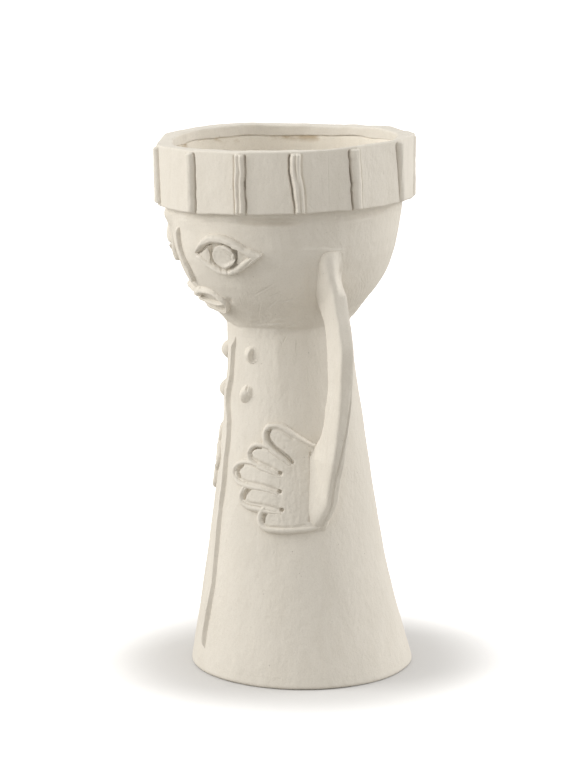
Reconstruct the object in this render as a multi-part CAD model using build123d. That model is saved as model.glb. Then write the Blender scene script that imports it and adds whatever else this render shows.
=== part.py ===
from build123d import *
import math
import os

# Face vase: a slab-and-coil clay vase. Millimetres, +Z up.
# Origin: centre of the underside of the base. The face looks toward -Y.
# The vase stands on a level base and leans forward a little, so the pieces
# are laid out about a leaning axis and then turned onto the level base.

# ---------------------------------------------------------------- dimensions
LEAN = 2.1              # forward lean of the vase, degrees
TOTAL_HEIGHT = 401.6    # along the leaning axis
FLOOR_T = 8.0           # thickness of the base slab
NECK_S = 258.0          # joint between body and head
BOWL_TOP_S = 393.2      # top of the head's wall, under the band's turned edge
RIM_INNER_R = 83.1      # inner radius of the rim
BAND_BOTTOM_S = 354.5   # lower edge of the band
BAND_TOP_R = 97.0       # corner radius of the band at the top
BAND_BOTTOM_R = 96.4    # corner radius of the band at the bottom
BODY_STEP = 16.0        # spacing of the wall sections
BOWL_STEP = 7.0
BAND_TOP_SHIFT = 0.9    # the band's centre behind the axis at the top
BAND_BOTTOM_SHIFT = -0.4
RIB_W = 9.7             # rib width
RIB_H = 2.7             # rib height over the band
RIB_CHANNEL_W = 2.6
RIB_CHANNEL_D = 1.1
RIB_ANGLES = [-8.0, 24.5, 50.2, 75.5, 102.4, 130.6,
              161.0, 192.0, 223.0, 254.5, 286.5, 319.0]
ARM_T = 12.6            # arm slab thickness
ARM_ANGLE = 92.3        # arm plane, from the front
HAND_SLAB_T = 3.0
HAND_COIL_T = 5.4
HAND_COIL_W = 4.0
LID_UPPER_W = 5.0
LID_LOWER_W = 4.2
LID_UPPER_T = 5.6
LID_LOWER_T = 5.0
IRIS_R = 7.6
IRIS_T = 5.2
WEDGE_T = 2.6
NOSE_T = 4.6
LIP_T = 6.6
LIP_LOWER_T = 5.6
PLACKET_W = 7.0
PLACKET_T = 4.5
BUTTON_R = 6.3
BUTTON_H = 4.6

# outer wall: height along the axis, radius, forward shift of the centre
BODY_OUT = [(-8, 86.5, 0.0), (13, 81.6, 0.9), (37, 76.4, 1.5), (61, 72.0, 1.9),
            (85, 67.4, 2.1), (109, 63.5, 2.0), (132, 60.1, 1.5), (156, 57.0, 0.9),
            (179, 53.9, 0.5), (202, 51.1, 0.3), (225, 48.4, 0.3), (244, 46.9, 0.6),
            (258, 46.5, 0.9)]
BOWL_OUT = [(258, 46.5, 0.9), (264.5, 46.7, 0.6), (268, 48.0, 0.4), (271.6, 50.9, 0.4),
            (276, 55.1, 0.5), (280.4, 59.2, 0.7), (285, 63.3, 0.8), (289.5, 67.0, 0.9),
            (294.1, 70.3, 0.9), (300, 73.9, 1.0), (308, 77.5, 1.1), (318, 81.1, 1.1),
            (330, 83.8, 1.1), (345, 85.9, 0.6), (365, 88.2, -0.1), (393.2, 91.0, -0.4)]
# inner wall
BODY_IN = [(4, 76.0, 0.4), (25, 70.7, 1.2), (49, 65.9, 1.7), (73, 61.5, 2.0),
           (97, 57.3, 2.1), (120, 53.7, 1.8), (145, 50.3, 1.1), (170, 47.0, 0.6),
           (195, 43.8, 0.3), (220, 40.9, 0.3), (242, 39.1, 0.6), (258, 38.5, 0.9), (261, 38.6, 0.8)]
BOWL_IN = [(255, 38.4, 0.9), (258, 38.5, 0.9), (265, 38.8, 0.6), (270, 40.6, 0.4), (276, 45.4, 0.5),
           (282, 51.0, 0.7), (288, 56.0, 0.9), (294, 60.3, 0.9), (301, 64.4, 1.0),
           (310, 68.6, 1.1), (322, 72.9, 1.1), (336, 76.4, 0.9), (352, 79.2, 0.4),
           (372, 81.9, -0.3), (393.2, 84.0, -0.4), (395.2, 84.2, -0.4)]

# arm outline in its own plane: radius from the axis, height along the axis
ARM_OUTER = [(72, 327.5), (79.5, 327.0), (84.5, 323.0), (88.5, 313.0), (92.0, 304.0),
             (95.3, 293.0), (98.5, 283.0), (101.8, 273.0), (104.6, 262.0), (105.2, 253.0),
             (103.0, 235.0), (99.8, 214.0), (95.8, 193.0), (88.2, 171.0),
             (76.0, 148.5), (66.5, 131.5), (60.0, 121.0), (52.0, 112.0)]
ARM_INNER = [(50.0, 168.0), (53.0, 183.5), (62.0, 187.5), (70.5, 199.0), (75.0, 211.0),
             (78.6, 229.0), (79.4, 249.0), (77.6, 265.0), (76.2, 274.0), (72.6, 280.0),
             (66.8, 284.0), (58.0, 286.0)]

# left hand outline on the body: angle from the front, height along the axis
HAND = [(84.0, 176.0), (76.0, 180.5), (68.0, 183.5), (58.0, 188.0), (50.0, 190.2),
        (49.5, 186.0), (57.0, 178.0), (66.5, 169.5),
        (57.0, 171.5), (46.0, 173.3), (37.0, 173.5), (37.0, 169.0), (48.0, 163.5), (60.5, 160.2),
        (48.0, 160.5), (35.0, 160.5), (24.0, 158.6), (24.0, 153.6), (38.0, 149.5), (59.5, 148.6),
        (46.0, 145.3), (32.0, 142.0), (33.0, 137.2), (46.0, 133.8), (60.5, 133.6),
        (53.0, 129.5), (46.5, 125.5), (49.0, 121.0), (57.0, 118.6), (68.0, 118.2), (83.0, 121.5)]

# left eye: angle from the front, height along the axis
LID_UPPER = [(21.0, 326.0), (24.0, 332.5), (29.5, 337.6), (36.0, 340.0), (43.0, 339.0),
             (50.0, 335.4), (56.0, 331.0), (61.0, 327.0)]
LID_LOWER = [(22.4, 321.5), (25.5, 316.6), (30.0, 313.5), (36.0, 312.4), (42.0, 313.4),
             (48.0, 316.6), (53.6, 321.2), (58.6, 325.6)]
IRIS_AT = (38.4, 326.3)
WEDGE_IN = [(23.8, 326.0), (25.8, 331.0), (28.4, 332.2), (29.4, 326.4), (28.6, 319.2), (26.2, 320.4)]
WEDGE_OUT = [(47.4, 333.4), (53.5, 328.8), (57.0, 326.6), (53.0, 324.2), (47.4, 319.6), (48.0, 326.6)]

# brow and nose on the centre line
NOSE = [(-14.5, 342.0), (-5.0, 343.0), (5.0, 341.0), (4.6, 335.3), (4.4, 327.7), (5.4, 321.3),
        (7.2, 316.9), (8.3, 311.4), (8.2, 303.5), (5.5, 300.2), (0.0, 299.4), (-6.0, 300.2), (-11.5, 303.5),
        (-13.5, 311.4), (-15.0, 320.0), (-15.5, 329.0), (-15.2, 336.0)]
LIP_UPPER = [(-25.0, 286.4), (-17.0, 291.5), (-8.0, 293.8), (0.0, 292.5), (8.0, 293.8), (17.0, 291.5), (25.0, 286.4)]
LIP_LOWER = [(-24.0, 280.4), (-15.0, 279.0), (-6.0, 278.3), (0.0, 278.1), (6.0, 278.3), (15.0, 279.0), (24.0, 280.4)]
MOUTH_LINE = [(-23.0, 284.6), (-12.0, 285.6), (0.0, 285.8), (12.0, 285.6), (23.0, 284.6)]
LIP_UPPER_W = 5.6
LIP_LOWER_W = 5.2
MOUTH_W = 2.2
MOUTH_T = 4.4

PLACKET = [(9.6, 254.0), (5.4, 236.0), (2.4, 221.0), (1.6, 209.0), (4.2, 196.0), (6.2, 184.0), (6.2, 165.0),
           (6.6, 148.0), (6.0, 128.0), (6.2, 105.0), (7.2, 76.0), (6.4, 54.0), (4.6, 38.0), (4.6, 20.0)]
BUTTONS = {"button_left_upper": (35.1, 245.8), "button_left_lower": (30.0, 216.2),
           "button_right_upper": (-19.5, 243.5), "button_right_lower": (-15.5, 214.5)}

Z_LIMIT = 200.0


# ------------------------------------------------------------------- helpers
def at(table, s):
    """Radius and forward shift of a wall table at height s."""
    if s <= table[0][0]:
        return table[0][1], table[0][2]
    for a, b in zip(table, table[1:]):
        if s <= b[0]:
            k = (s - a[0]) / (b[0] - a[0])
            return a[1] + k * (b[1] - a[1]), a[2] + k * (b[2] - a[2])
    return table[-1][1], table[-1][2]


def even(table, step):
    """The wall table taken again at an even spacing, lightly averaged."""
    first, last = table[0][0], table[-1][0]
    n = max(2, round((last - first) / step))
    out = []
    for i in range(n + 1):
        s = first + (last - first) * i / n
        total_r, total_shift, total = 0.0, 0.0, 0.0
        for d, k in ((-0.6 * step, 1), (0.0, 2), (0.6 * step, 1)):
            q = s if i in (0, n) else min(max(s + d, first), last)
            r, shift = at(table, q)
            total_r += k * r
            total_shift += k * shift
            total += k
        out.append((s, total_r / total, total_shift / total))
    return out


def wall(table, step, grow=0.0):
    """Solid of circular sections, stacked along the leaning axis."""
    return loft([Plane(origin=(0, -shift, s)) * Circle(r + grow) for s, r, shift in even(table, step)])


def facing(angle):
    """Plane through the axis that looks outward at an angle from the front."""
    a = math.radians(angle)
    return Plane(origin=(0, 0, 0), x_dir=(math.cos(a), math.sin(a), 0),
                 z_dir=(math.sin(a), -math.cos(a), 0))


def flat(points, mid, table, grow):
    """Surface points (angle, height) seen square on from the angle mid."""
    out = []
    m = math.radians(mid)
    for psi, s in points:
        r, shift = at(table, s)
        p = math.radians(psi)
        x = (r + grow) * math.sin(p)
        y = -(r + grow) * math.cos(p) - shift
        out.append((x * math.cos(m) + y * math.sin(m), s))
    return out


def smooth(points, n=6):
    """Points along a soft curve through the given points."""
    p = [points[0]] + list(points) + [points[-1]]
    out = []
    for i in range(1, len(p) - 2):
        for j in range(n):
            t = j / n
            q = []
            for k in range(2):
                a, b, c, d = p[i - 1][k], p[i][k], p[i + 1][k], p[i + 2][k]
                q.append(0.5 * (2 * b + (c - a) * t + (2 * a - 5 * b + 4 * c - d) * t * t
                                + (3 * b - a - 3 * c + d) * t * t * t))
            out.append(tuple(q))
    out.append(tuple(points[-1]))
    return out


def ribbon(points, width, n=4):
    """Closed outline of a strip of even width along a path, round at the ends."""
    pts = smooth(points, n)
    left, right = [], []
    for i, (x, y) in enumerate(pts):
        a = pts[max(i - 1, 0)]
        b = pts[min(i + 1, len(pts) - 1)]
        dx, dy = b[0] - a[0], b[1] - a[1]
        d = math.hypot(dx, dy)
        nx, ny = -dy / d, dx / d
        k = width / 2
        if i in (0, len(pts) - 1):
            k *= 0.6
        left.append((x + nx * k, y + ny * k))
        right.append((x - nx * k, y - ny * k))
    right.reverse()
    edges = [Spline(*left), Line(left[-1], right[0]), Spline(*right), Line(right[-1], left[0])]
    return make_face(Curve() + edges)


def shell_cut(face, mid, outer, inner):
    """A flat outline pushed outward and kept between two walls."""
    prism = extrude(facing(mid) * face, amount=Z_LIMIT)
    return (prism & outer) - inner


def keep_main(shape):
    """The largest solid of a shape."""
    solids = sorted(shape.solids(), key=lambda q: q.volume)
    return solids[-1]


def mirror_angle(points, blend=False):
    out = []
    for psi, s in points:
        q = -psi
        if blend:
            q += 10.0 * (90.0 - psi) / 68.0
        out.append((q, s))
    return out


# ------------------------------------------------------------------ the walls
body_full = wall(BODY_OUT, BODY_STEP)
bowl_full = wall(BOWL_OUT, BOWL_STEP)
below = Rotation(-LEAN, 0, 0) * Pos(0, 0, -100) * Box(400, 400, 200)
slab_zone = Rotation(-LEAN, 0, 0) * Pos(0, 0, FLOOR_T / 2) * Box(400, 400, FLOOR_T)
floor_zone = Rotation(-LEAN, 0, 0) * Pos(0, 0, FLOOR_T / 2 - 100) * Box(400, 400, 200 + FLOOR_T)

nodes = {}
nodes["base_slab"] = body_full & slab_zone
nodes["body_cone"] = body_full - floor_zone - wall(BODY_IN, BODY_STEP)
nodes["head_bowl"] = bowl_full - wall(BOWL_IN, BOWL_STEP)


# ------------------------------------------------------------------- the band
def band_ring(radius, s, shift):
    pts = [(radius * math.sin(math.radians(a)), -radius * math.cos(math.radians(a)))
           for a in RIB_ANGLES]
    outline = make_face(Polyline(*pts, close=True))
    outline = fillet(outline.vertices(), 24.0)
    return Plane(origin=(0, -shift, s)) * outline


def band_at(s, inset):
    """Ring of the band at height s, drawn in by an inset at its soft edges."""
    k = (s - BAND_BOTTOM_S) / (TOTAL_HEIGHT - BAND_BOTTOM_S)
    radius = BAND_BOTTOM_R + k * (BAND_TOP_R - BAND_BOTTOM_R)
    shift = BAND_BOTTOM_SHIFT + k * (BAND_TOP_SHIFT - BAND_BOTTOM_SHIFT)
    return band_ring(radius - inset, s, -shift)


band_full = loft([band_at(BAND_BOTTOM_S, 1.6), band_at(BAND_BOTTOM_S + 1.6, 0.0),
                  band_at(TOTAL_HEIGHT - 2.4, 0.0), band_at(TOTAL_HEIGHT - 0.7, 0.7),
                  band_at(TOTAL_HEIGHT, 2.4)], ruled=True)
rim_hole = Pos(0, 0, TOTAL_HEIGHT) * Cylinder(RIM_INNER_R, 40)
rim_lip = Pos(0, 0, TOTAL_HEIGHT - 1.0) * Cone(RIM_INNER_R - 0.8, RIM_INNER_R + 2.2, 3.0)
nodes["rim_band"] = keep_main(band_full - bowl_full - rim_hole - rim_lip)


def rib(angle):
    """Upright strip with a channel between two ridges, standing on the band."""
    a = math.radians(angle)
    low = (BAND_BOTTOM_S + 2.0, BAND_BOTTOM_R, -BAND_BOTTOM_SHIFT)
    high = (TOTAL_HEIGHT - 3.0, BAND_TOP_R, -BAND_TOP_SHIFT)
    ends = []
    for s, r, shift in (low, high):
        ends.append(Vector(r * math.sin(a), -r * math.cos(a) - shift, s))
    along = ends[1] - ends[0]
    plane = Plane(origin=ends[0], x_dir=(math.cos(a), math.sin(a), 0), z_dir=along.normalized())
    # in this plane +x runs along the band and -y is outward
    h, w, cw, cd = RIB_H - 0.6, RIB_W / 2, RIB_CHANNEL_W / 2, RIB_CHANNEL_D
    outline = Polyline((-w, 9), (-w, -h + 0.9), (-w + 1.1, -h), (-cw - 0.6, -h), (-cw + 0.4, -h + cd),
                       (cw - 0.4, -h + cd), (cw + 0.6, -h), (w - 1.1, -h), (w, -h + 0.9), (w, 9), close=True)
    bar = extrude(plane * make_face(outline), amount=along.length)
    return bar


for i, angle in enumerate(RIB_ANGLES):
    bar = rib(angle) - band_full - bowl_full
    nodes["rim_rib_%02d" % (i + 1)] = keep_main(bar)


# ------------------------------------------------------------------- the arms
def arm(angle):
    outer = Spline(*ARM_OUTER)
    inner = Spline(*ARM_INNER)
    edges = [outer, Line(ARM_OUTER[-1], (40.0, 112.0)), Line((40.0, 112.0), (40.0, 168.0)),
             Line((40.0, 168.0), ARM_INNER[0]), inner,
             Line(ARM_INNER[-1], (50.0, 286.0)), Line((50.0, 286.0), (50.0, 327.5)),
             Line((50.0, 327.5), ARM_OUTER[0])]
    face = make_face(Curve() + edges)
    a = math.radians(angle)
    plane = Plane(origin=(0, 0, 0), x_dir=(math.sin(a), -math.cos(a), 0),
                  z_dir=(-math.cos(a), -math.sin(a), 0))
    slab = extrude(plane * face, amount=ARM_T / 2, both=True)
    return slab


left_arm = keep_main(arm(ARM_ANGLE) - body_full - bowl_full)
right_arm = keep_main(arm(-ARM_ANGLE) - body_full - bowl_full)
nodes["left_arm"] = left_arm
nodes["right_arm"] = right_arm

# ------------------------------------------------------------------ the hands
slab_wall = wall(BODY_OUT, BODY_STEP, HAND_SLAB_T)
coil_wall = wall(BODY_OUT, BODY_STEP, HAND_COIL_T)
for side, mid in (("left", 56.0), ("right", -52.0)):
    outline = HAND if side == "left" else mirror_angle(HAND, blend=True)
    pts = flat(outline, mid, BODY_OUT, 3.0)
    palm = make_face(Polyline(*pts, close=True))
    wide = offset(palm, amount=HAND_COIL_W / 2, kind=Kind.ARC)
    pads = offset(palm, amount=-HAND_COIL_W / 2, kind=Kind.INTERSECTION)
    arm_block = left_arm if side == "left" else right_arm
    slab = shell_cut(pads, mid, slab_wall, body_full) - arm_block
    coil = shell_cut(wide - pads, mid, coil_wall, body_full) - arm_block
    nodes[side + "_hand_slab"] = slab
    nodes[side + "_hand_coil"] = coil

# ------------------------------------------------------------------- the face
upper_wall = wall(BOWL_OUT[2:], BOWL_STEP, LID_UPPER_T)
lower_wall = wall(BOWL_OUT[2:], BOWL_STEP, LID_LOWER_T)
wedge_wall = wall(BOWL_OUT[2:], BOWL_STEP, WEDGE_T)
iris_wall = wall(BOWL_OUT[2:], BOWL_STEP, IRIS_T)
nose_wall = wall(BOWL_OUT[2:], BOWL_STEP, NOSE_T)
lip_wall = wall(BOWL_OUT[1:], BOWL_STEP, LIP_T)


def bowl_point(psi, s, mid):
    return flat([(psi, s)], mid, BOWL_OUT, 0.0)[0]


for side in ("left", "right"):
    sign = 1 if side == "left" else -1
    mid = 38.0 * sign

    def turned(points):
        return points if sign > 0 else mirror_angle(points)

    up = ribbon(flat(turned(LID_UPPER), mid, BOWL_OUT, 3.0), LID_UPPER_W)
    low = ribbon(flat(turned(LID_LOWER), mid, BOWL_OUT, 3.0), LID_LOWER_W)
    up_lid = shell_cut(up, mid, upper_wall, bowl_full) - band_full
    low_lid = shell_cut(low, mid, lower_wall, bowl_full) - up_lid
    nodes[side + "_eye_upper_lid"] = up_lid
    nodes[side + "_eye_lower_lid"] = low_lid
    cx, cy = bowl_point(IRIS_AT[0] * sign, IRIS_AT[1], mid)
    disc = Pos(cx, cy) * Circle(IRIS_R)
    nodes[side + "_eye_iris"] = shell_cut(disc, mid, iris_wall, bowl_full)
    for name, shape in (("inner", WEDGE_IN), ("outer", WEDGE_OUT)):
        face = make_face(Polyline(*flat(turned(shape), mid, BOWL_OUT, 1.0), close=True))
        wedge = shell_cut(face, mid, wedge_wall, bowl_full) - up_lid - low_lid
        nodes[side + "_eye_" + name + "_wedge"] = keep_main(wedge)

nose_face = make_face(Polyline(*flat(NOSE, 0.0, BOWL_OUT, 3.0), close=True))
nose = shell_cut(nose_face, 0.0, nose_wall, bowl_full)
nodes["nose_ridge"] = nose
upper = shell_cut(ribbon(flat(LIP_UPPER, 0.0, BOWL_OUT, 4.0), LIP_UPPER_W), 0.0, lip_wall, bowl_full) - nose
lower = shell_cut(ribbon(flat(LIP_LOWER, 0.0, BOWL_OUT, 4.0), LIP_LOWER_W), 0.0,
                  wall(BOWL_OUT[1:], BOWL_STEP, LIP_LOWER_T), bowl_full) - upper
line = shell_cut(ribbon(flat(MOUTH_LINE, 0.0, BOWL_OUT, 2.0), MOUTH_W), 0.0,
                 wall(BOWL_OUT[1:], BOWL_STEP, MOUTH_T), bowl_full) - upper - lower
nodes["upper_lip"] = upper
nodes["lower_lip"] = lower
nodes["mouth_line"] = line

# ---------------------------------------------------- placket and its pellets
placket_wall = wall(BODY_OUT, BODY_STEP, PLACKET_T)
placket = shell_cut(ribbon(flat(PLACKET, 8.0, BODY_OUT, 2.0), PLACKET_W), 8.0, placket_wall, body_full)
nodes["placket_ridge"] = placket
for name, (psi, s) in BUTTONS.items():
    r, shift = at(BODY_OUT, s)
    a = math.radians(psi)
    pellet = Plane(origin=(0, -shift, s), z_dir=(math.sin(a), -math.cos(a), 0)) \
        * Pos(0, 0, r + BUTTON_H / 2 - 3.0) * Cylinder(BUTTON_R, BUTTON_H + 6.0)
    pellet = fillet(pellet.edges().sort_by_distance((200 * math.sin(a), -200 * math.cos(a), s))[:1], 2.4)
    nodes[name] = pellet - body_full

# -------------------------------------------------------------------- output
os.makedirs("parts", exist_ok=True)
for name, shape in nodes.items():
    solids = shape.solids()
    out = solids[0] if len(solids) == 1 else Compound(children=list(solids))
    out = Rotation(LEAN, 0, 0) * out
    out.label = name
    export_step(out, "parts/" + name + ".step")
    print(name, len(solids), round(sum(q.volume for q in solids)))
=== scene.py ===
import math
import bpy
import numpy as np
from mathutils import Matrix, Vector


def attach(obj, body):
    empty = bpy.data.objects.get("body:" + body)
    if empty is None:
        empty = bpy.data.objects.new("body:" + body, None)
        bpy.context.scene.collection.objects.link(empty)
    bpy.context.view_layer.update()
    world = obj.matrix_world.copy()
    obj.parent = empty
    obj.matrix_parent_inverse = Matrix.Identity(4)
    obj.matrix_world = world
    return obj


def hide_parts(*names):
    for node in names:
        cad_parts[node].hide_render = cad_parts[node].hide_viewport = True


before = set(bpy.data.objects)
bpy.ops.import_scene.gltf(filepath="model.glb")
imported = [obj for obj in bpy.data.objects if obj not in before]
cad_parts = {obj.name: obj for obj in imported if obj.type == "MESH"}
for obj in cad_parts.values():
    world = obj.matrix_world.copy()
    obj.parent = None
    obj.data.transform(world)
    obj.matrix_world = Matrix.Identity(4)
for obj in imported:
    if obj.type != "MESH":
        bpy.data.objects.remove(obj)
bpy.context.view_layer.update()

# =====================================================================
# Measures, in millimetres. s is the height along the leaning axis, psi
# the angle from the front of the vase, toward its left arm.
# =====================================================================
LEAN = math.radians(2.1)
TOP_S = 401.6
NECK_S = 258.0
BAND_BOTTOM_S = 354.5
RIBS = [-8.0, 24.5, 50.2, 75.5, 102.4, 130.6, 161.0, 192.0, 223.0, 254.5, 286.5, 319.0]

OUT = np.array([
    (-8, 86.5, 0.0), (13, 81.6, 0.9), (37, 76.4, 1.5), (61, 72.0, 1.9), (85, 67.4, 2.1), (109, 63.5, 2.0),
    (132, 60.1, 1.5), (156, 57.0, 0.9), (179, 53.9, 0.5), (202, 51.1, 0.3), (225, 48.4, 0.3), (244, 46.9, 0.6),
    (258, 46.5, 0.9), (264.5, 46.7, 0.6), (268, 48.0, 0.4), (271.6, 50.9, 0.4), (276, 55.1, 0.5),
    (280.4, 59.2, 0.7), (285, 63.3, 0.8), (289.5, 67.0, 0.9), (294.1, 70.3, 0.9), (300, 73.9, 1.0),
    (308, 77.5, 1.1), (318, 81.1, 1.1), (330, 83.8, 1.1), (345, 85.9, 0.6), (365, 88.2, -0.1), (393.2, 91.0, -0.4)])
INN = np.array([
    (-8, 78.8, 0.0), (4, 76.0, 0.4), (25, 70.7, 1.2), (49, 65.9, 1.7), (73, 61.5, 2.0), (97, 57.3, 2.1),
    (120, 53.7, 1.8), (145, 50.3, 1.1), (170, 47.0, 0.6), (195, 43.8, 0.3), (220, 40.9, 0.3), (242, 39.1, 0.6),
    (258, 38.5, 0.9), (265, 38.8, 0.6), (270, 40.6, 0.4), (276, 45.4, 0.5), (282, 51.0, 0.7), (288, 56.0, 0.9),
    (294, 60.3, 0.9), (301, 64.4, 1.0), (310, 68.6, 1.1), (322, 72.9, 1.1), (336, 76.4, 0.9), (352, 79.2, 0.4),
    (372, 81.9, -0.3), (393.2, 84.0, -0.4)])

# =====================================================================
# The camera: a long lens, a little above the vase
# =====================================================================
F_PX = 2640.0
CAM_D, CAM_Z, CAM_SIDE = 1952.0, 604.0, -11.0
PITCH, PHI = math.radians(11.3), math.radians(70.0)
CAM_RIGHT = np.array([math.cos(PHI), math.sin(PHI), 0.0])
CAM_BACK = np.array([math.sin(PHI), -math.cos(PHI), 0.0])
CAM_POS = CAM_RIGHT * CAM_SIDE + CAM_BACK * CAM_D + np.array([0, 0, CAM_Z])
CAM_FWD = -CAM_BACK * math.cos(PITCH) - np.array([0, 0, 1.0]) * math.sin(PITCH)
CAM_UP = np.cross(CAM_RIGHT, CAM_FWD)

cam_data = bpy.data.cameras.new("camera")
cam_data.sensor_fit = 'AUTO'
cam_data.sensor_width = 36.0
cam_data.lens = F_PX / 768.0 * 36.0
cam_data.clip_start = 0.05
cam_data.clip_end = 50.0
cam = bpy.data.objects.new("camera", cam_data)
bpy.context.scene.collection.objects.link(cam)
cam.matrix_world = Matrix((
    (CAM_RIGHT[0], CAM_UP[0], -CAM_FWD[0], CAM_POS[0] / 1000),
    (CAM_RIGHT[1], CAM_UP[1], -CAM_FWD[1], CAM_POS[1] / 1000),
    (CAM_RIGHT[2], CAM_UP[2], -CAM_FWD[2], CAM_POS[2] / 1000),
    (0, 0, 0, 1)))
bpy.context.scene.camera = cam

CL, SL = math.cos(LEAN), math.sin(LEAN)
TILT = np.array([[1, 0, 0], [0, CL, -SL], [0, SL, CL]])


def to_row(p):
    """From the leaning frame to the level one."""
    return np.asarray(p) @ TILT.T


def to_lean(p):
    return np.asarray(p) @ TILT


# =====================================================================
# Noise
# =====================================================================
def _hash(ix, iy, iz, seed):
    h = (ix.astype(np.int64) * 374761393 + iy.astype(np.int64) * 668265263
         + iz.astype(np.int64) * 2147483647 + seed * 1274126177) & 0xffffffff
    h = ((h ^ (h >> 13)) * 1274126177) & 0xffffffff
    h = ((h ^ (h >> 16)) * 2246822519) & 0xffffffff
    h = h ^ (h >> 15)
    return (h & 0xffffff) / float(0xffffff) * 2.0 - 1.0


def noise(p, scale, seed=0):
    """Smooth value noise, about -1 to 1. p in millimetres, (..., 3)."""
    q = np.asarray(p, float) / np.asarray(scale, float)
    i = np.floor(q)
    f = q - i
    u = f * f * f * (f * (f * 6 - 15) + 10)
    x, y, z = i[..., 0], i[..., 1], i[..., 2]
    ux, uy, uz = u[..., 0], u[..., 1], u[..., 2]
    out = 0.0
    for dx in (0, 1):
        wx = ux if dx else 1 - ux
        for dy in (0, 1):
            wy = uy if dy else 1 - uy
            for dz in (0, 1):
                wz = uz if dz else 1 - uz
                out = out + _hash(x + dx, y + dy, z + dz, seed) * wx * wy * wz
    return out


def fbm(p, scale, octaves, seed=0, gain=0.5):
    total, amp, norm = 0.0, 1.0, 0.0
    sc = np.asarray(scale, float)
    for k in range(octaves):
        total = total + amp * noise(p, sc, seed + 17 * k)
        norm += amp
        amp *= gain
        sc = sc / 2.03
    return total / norm


def smoothstep(a, b, x):
    t = np.clip((x - a) / (b - a), 0.0, 1.0)
    return t * t * (3 - 2 * t)


def soft_table(table, s, col):
    """Table value at s, eased round its corners."""
    w = 2.2
    total = 0.0
    for d, k in ((-w, 1), (-0.5 * w, 2), (0, 2), (0.5 * w, 2), (w, 1)):
        total = total + k * np.interp(s + d, table[:, 0], table[:, col])
    return total / 8.0


def polar(psi, s, r, shift):
    a = np.radians(psi)
    return np.stack([r * np.sin(a), -r * np.cos(a) - shift, s + 0 * a], -1)


# =====================================================================
# The outer skin of body and head, with the maker's unevenness
# =====================================================================
def bump_at(psi, s, psi0, s0, wide, tall, height, angle=0.0):
    """A soft swelling or hollow at one place of the skin."""
    r = np.interp(s0, OUT[:, 0], OUT[:, 1])
    du = np.radians((psi - psi0 + 180.0) % 360.0 - 180.0) * r
    dv = s - s0
    c, si = math.cos(angle), math.sin(angle)
    x = (du * c + dv * si) / wide
    y = (-du * si + dv * c) / tall
    return height * np.exp(-(x * x + y * y))


# scratches and scrapes: angle, height, half-width, half-length, depth, slant
SCRAPES = [(57.0, 300.0, 0.45, 9.0, 0.30, 1.05), (63.0, 296.0, 0.4, 7.0, 0.28, 1.2), (70.0, 291.0, 0.5, 8.0, 0.35, 1.35),
           (74.0, 286.0, 0.45, 6.0, 0.32, 1.25), (60.0, 288.0, 0.5, 7.0, 0.28, 0.9), (50.0, 283.0, 0.45, 5.0, 0.25, 0.5),
           (66.0, 276.0, 0.6, 6.0, 0.40, 1.45), (58.0, 271.0, 0.7, 6.0, 0.45, 1.5), (72.0, 269.0, 0.5, 5.0, 0.35, 1.3),
           (80.0, 273.0, 0.45, 6.0, 0.30, 1.1), (46.0, 270.0, 0.6, 5.0, 0.30, 1.4), (40.0, 290.0, 0.35, 4.0, 0.18, 0.2),
           (62.0, 318.0, 0.35, 8.0, 0.16, 1.3), (55.0, 340.0, 0.35, 5.0, 0.16, 0.9), (75.0, 336.0, 0.35, 6.0, 0.14, -0.8),
           (92.0, 330.0, 0.35, 5.0, 0.18, -1.2), (110.0, 322.0, 0.4, 6.0, 0.16, 1.0), (118.0, 300.0, 0.4, 7.0, 0.16, -0.9),
           (66.0, 258.0, 0.35, 3.0, 0.28, 0.5), (63.0, 255.0, 0.3, 2.5, 0.25, -0.2), (76.0, 252.0, 0.35, 7.0, 0.22, 0.05),
           (70.0, 240.0, 0.3, 5.0, 0.14, 1.3), (84.0, 230.0, 0.35, 8.0, 0.15, 0.1), (60.0, 214.0, 0.3, 4.0, 0.12, 0.7),
           (52.0, 206.0, 0.3, 3.0, 0.16, 0.3), (44.0, 196.0, 0.35, 3.0, 0.15, -0.5), (56.0, 100.0, 0.3, 4.0, 0.16, 0.3),
           (80.0, 84.0, 0.3, 5.0, 0.14, -0.5), (104.0, 60.0, 0.35, 6.0, 0.14, 0.8), (40.0, 44.0, 0.3, 3.0, 0.14, 0.2),
           (120.0, 150.0, 0.35, 8.0, 0.14, 0.2), (200.0, 280.0, 0.45, 8.0, 0.30, 1.2), (180.0, 270.0, 0.5, 8.0, 0.3, 1.4),
           (240.0, 276.0, 0.5, 8.0, 0.3, 1.3), (150.0, 274.0, 0.5, 7.0, 0.3, 1.4), (300.0, 275.0, 0.5, 7.0, 0.3, 1.3),
           (220.0, 190.0, 0.35, 9.0, 0.14, 0.1), (160.0, 120.0, 0.35, 7.0, 0.14, 0.5), (280.0, 90.0, 0.35, 6.0, 0.14, -0.4)]


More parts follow.
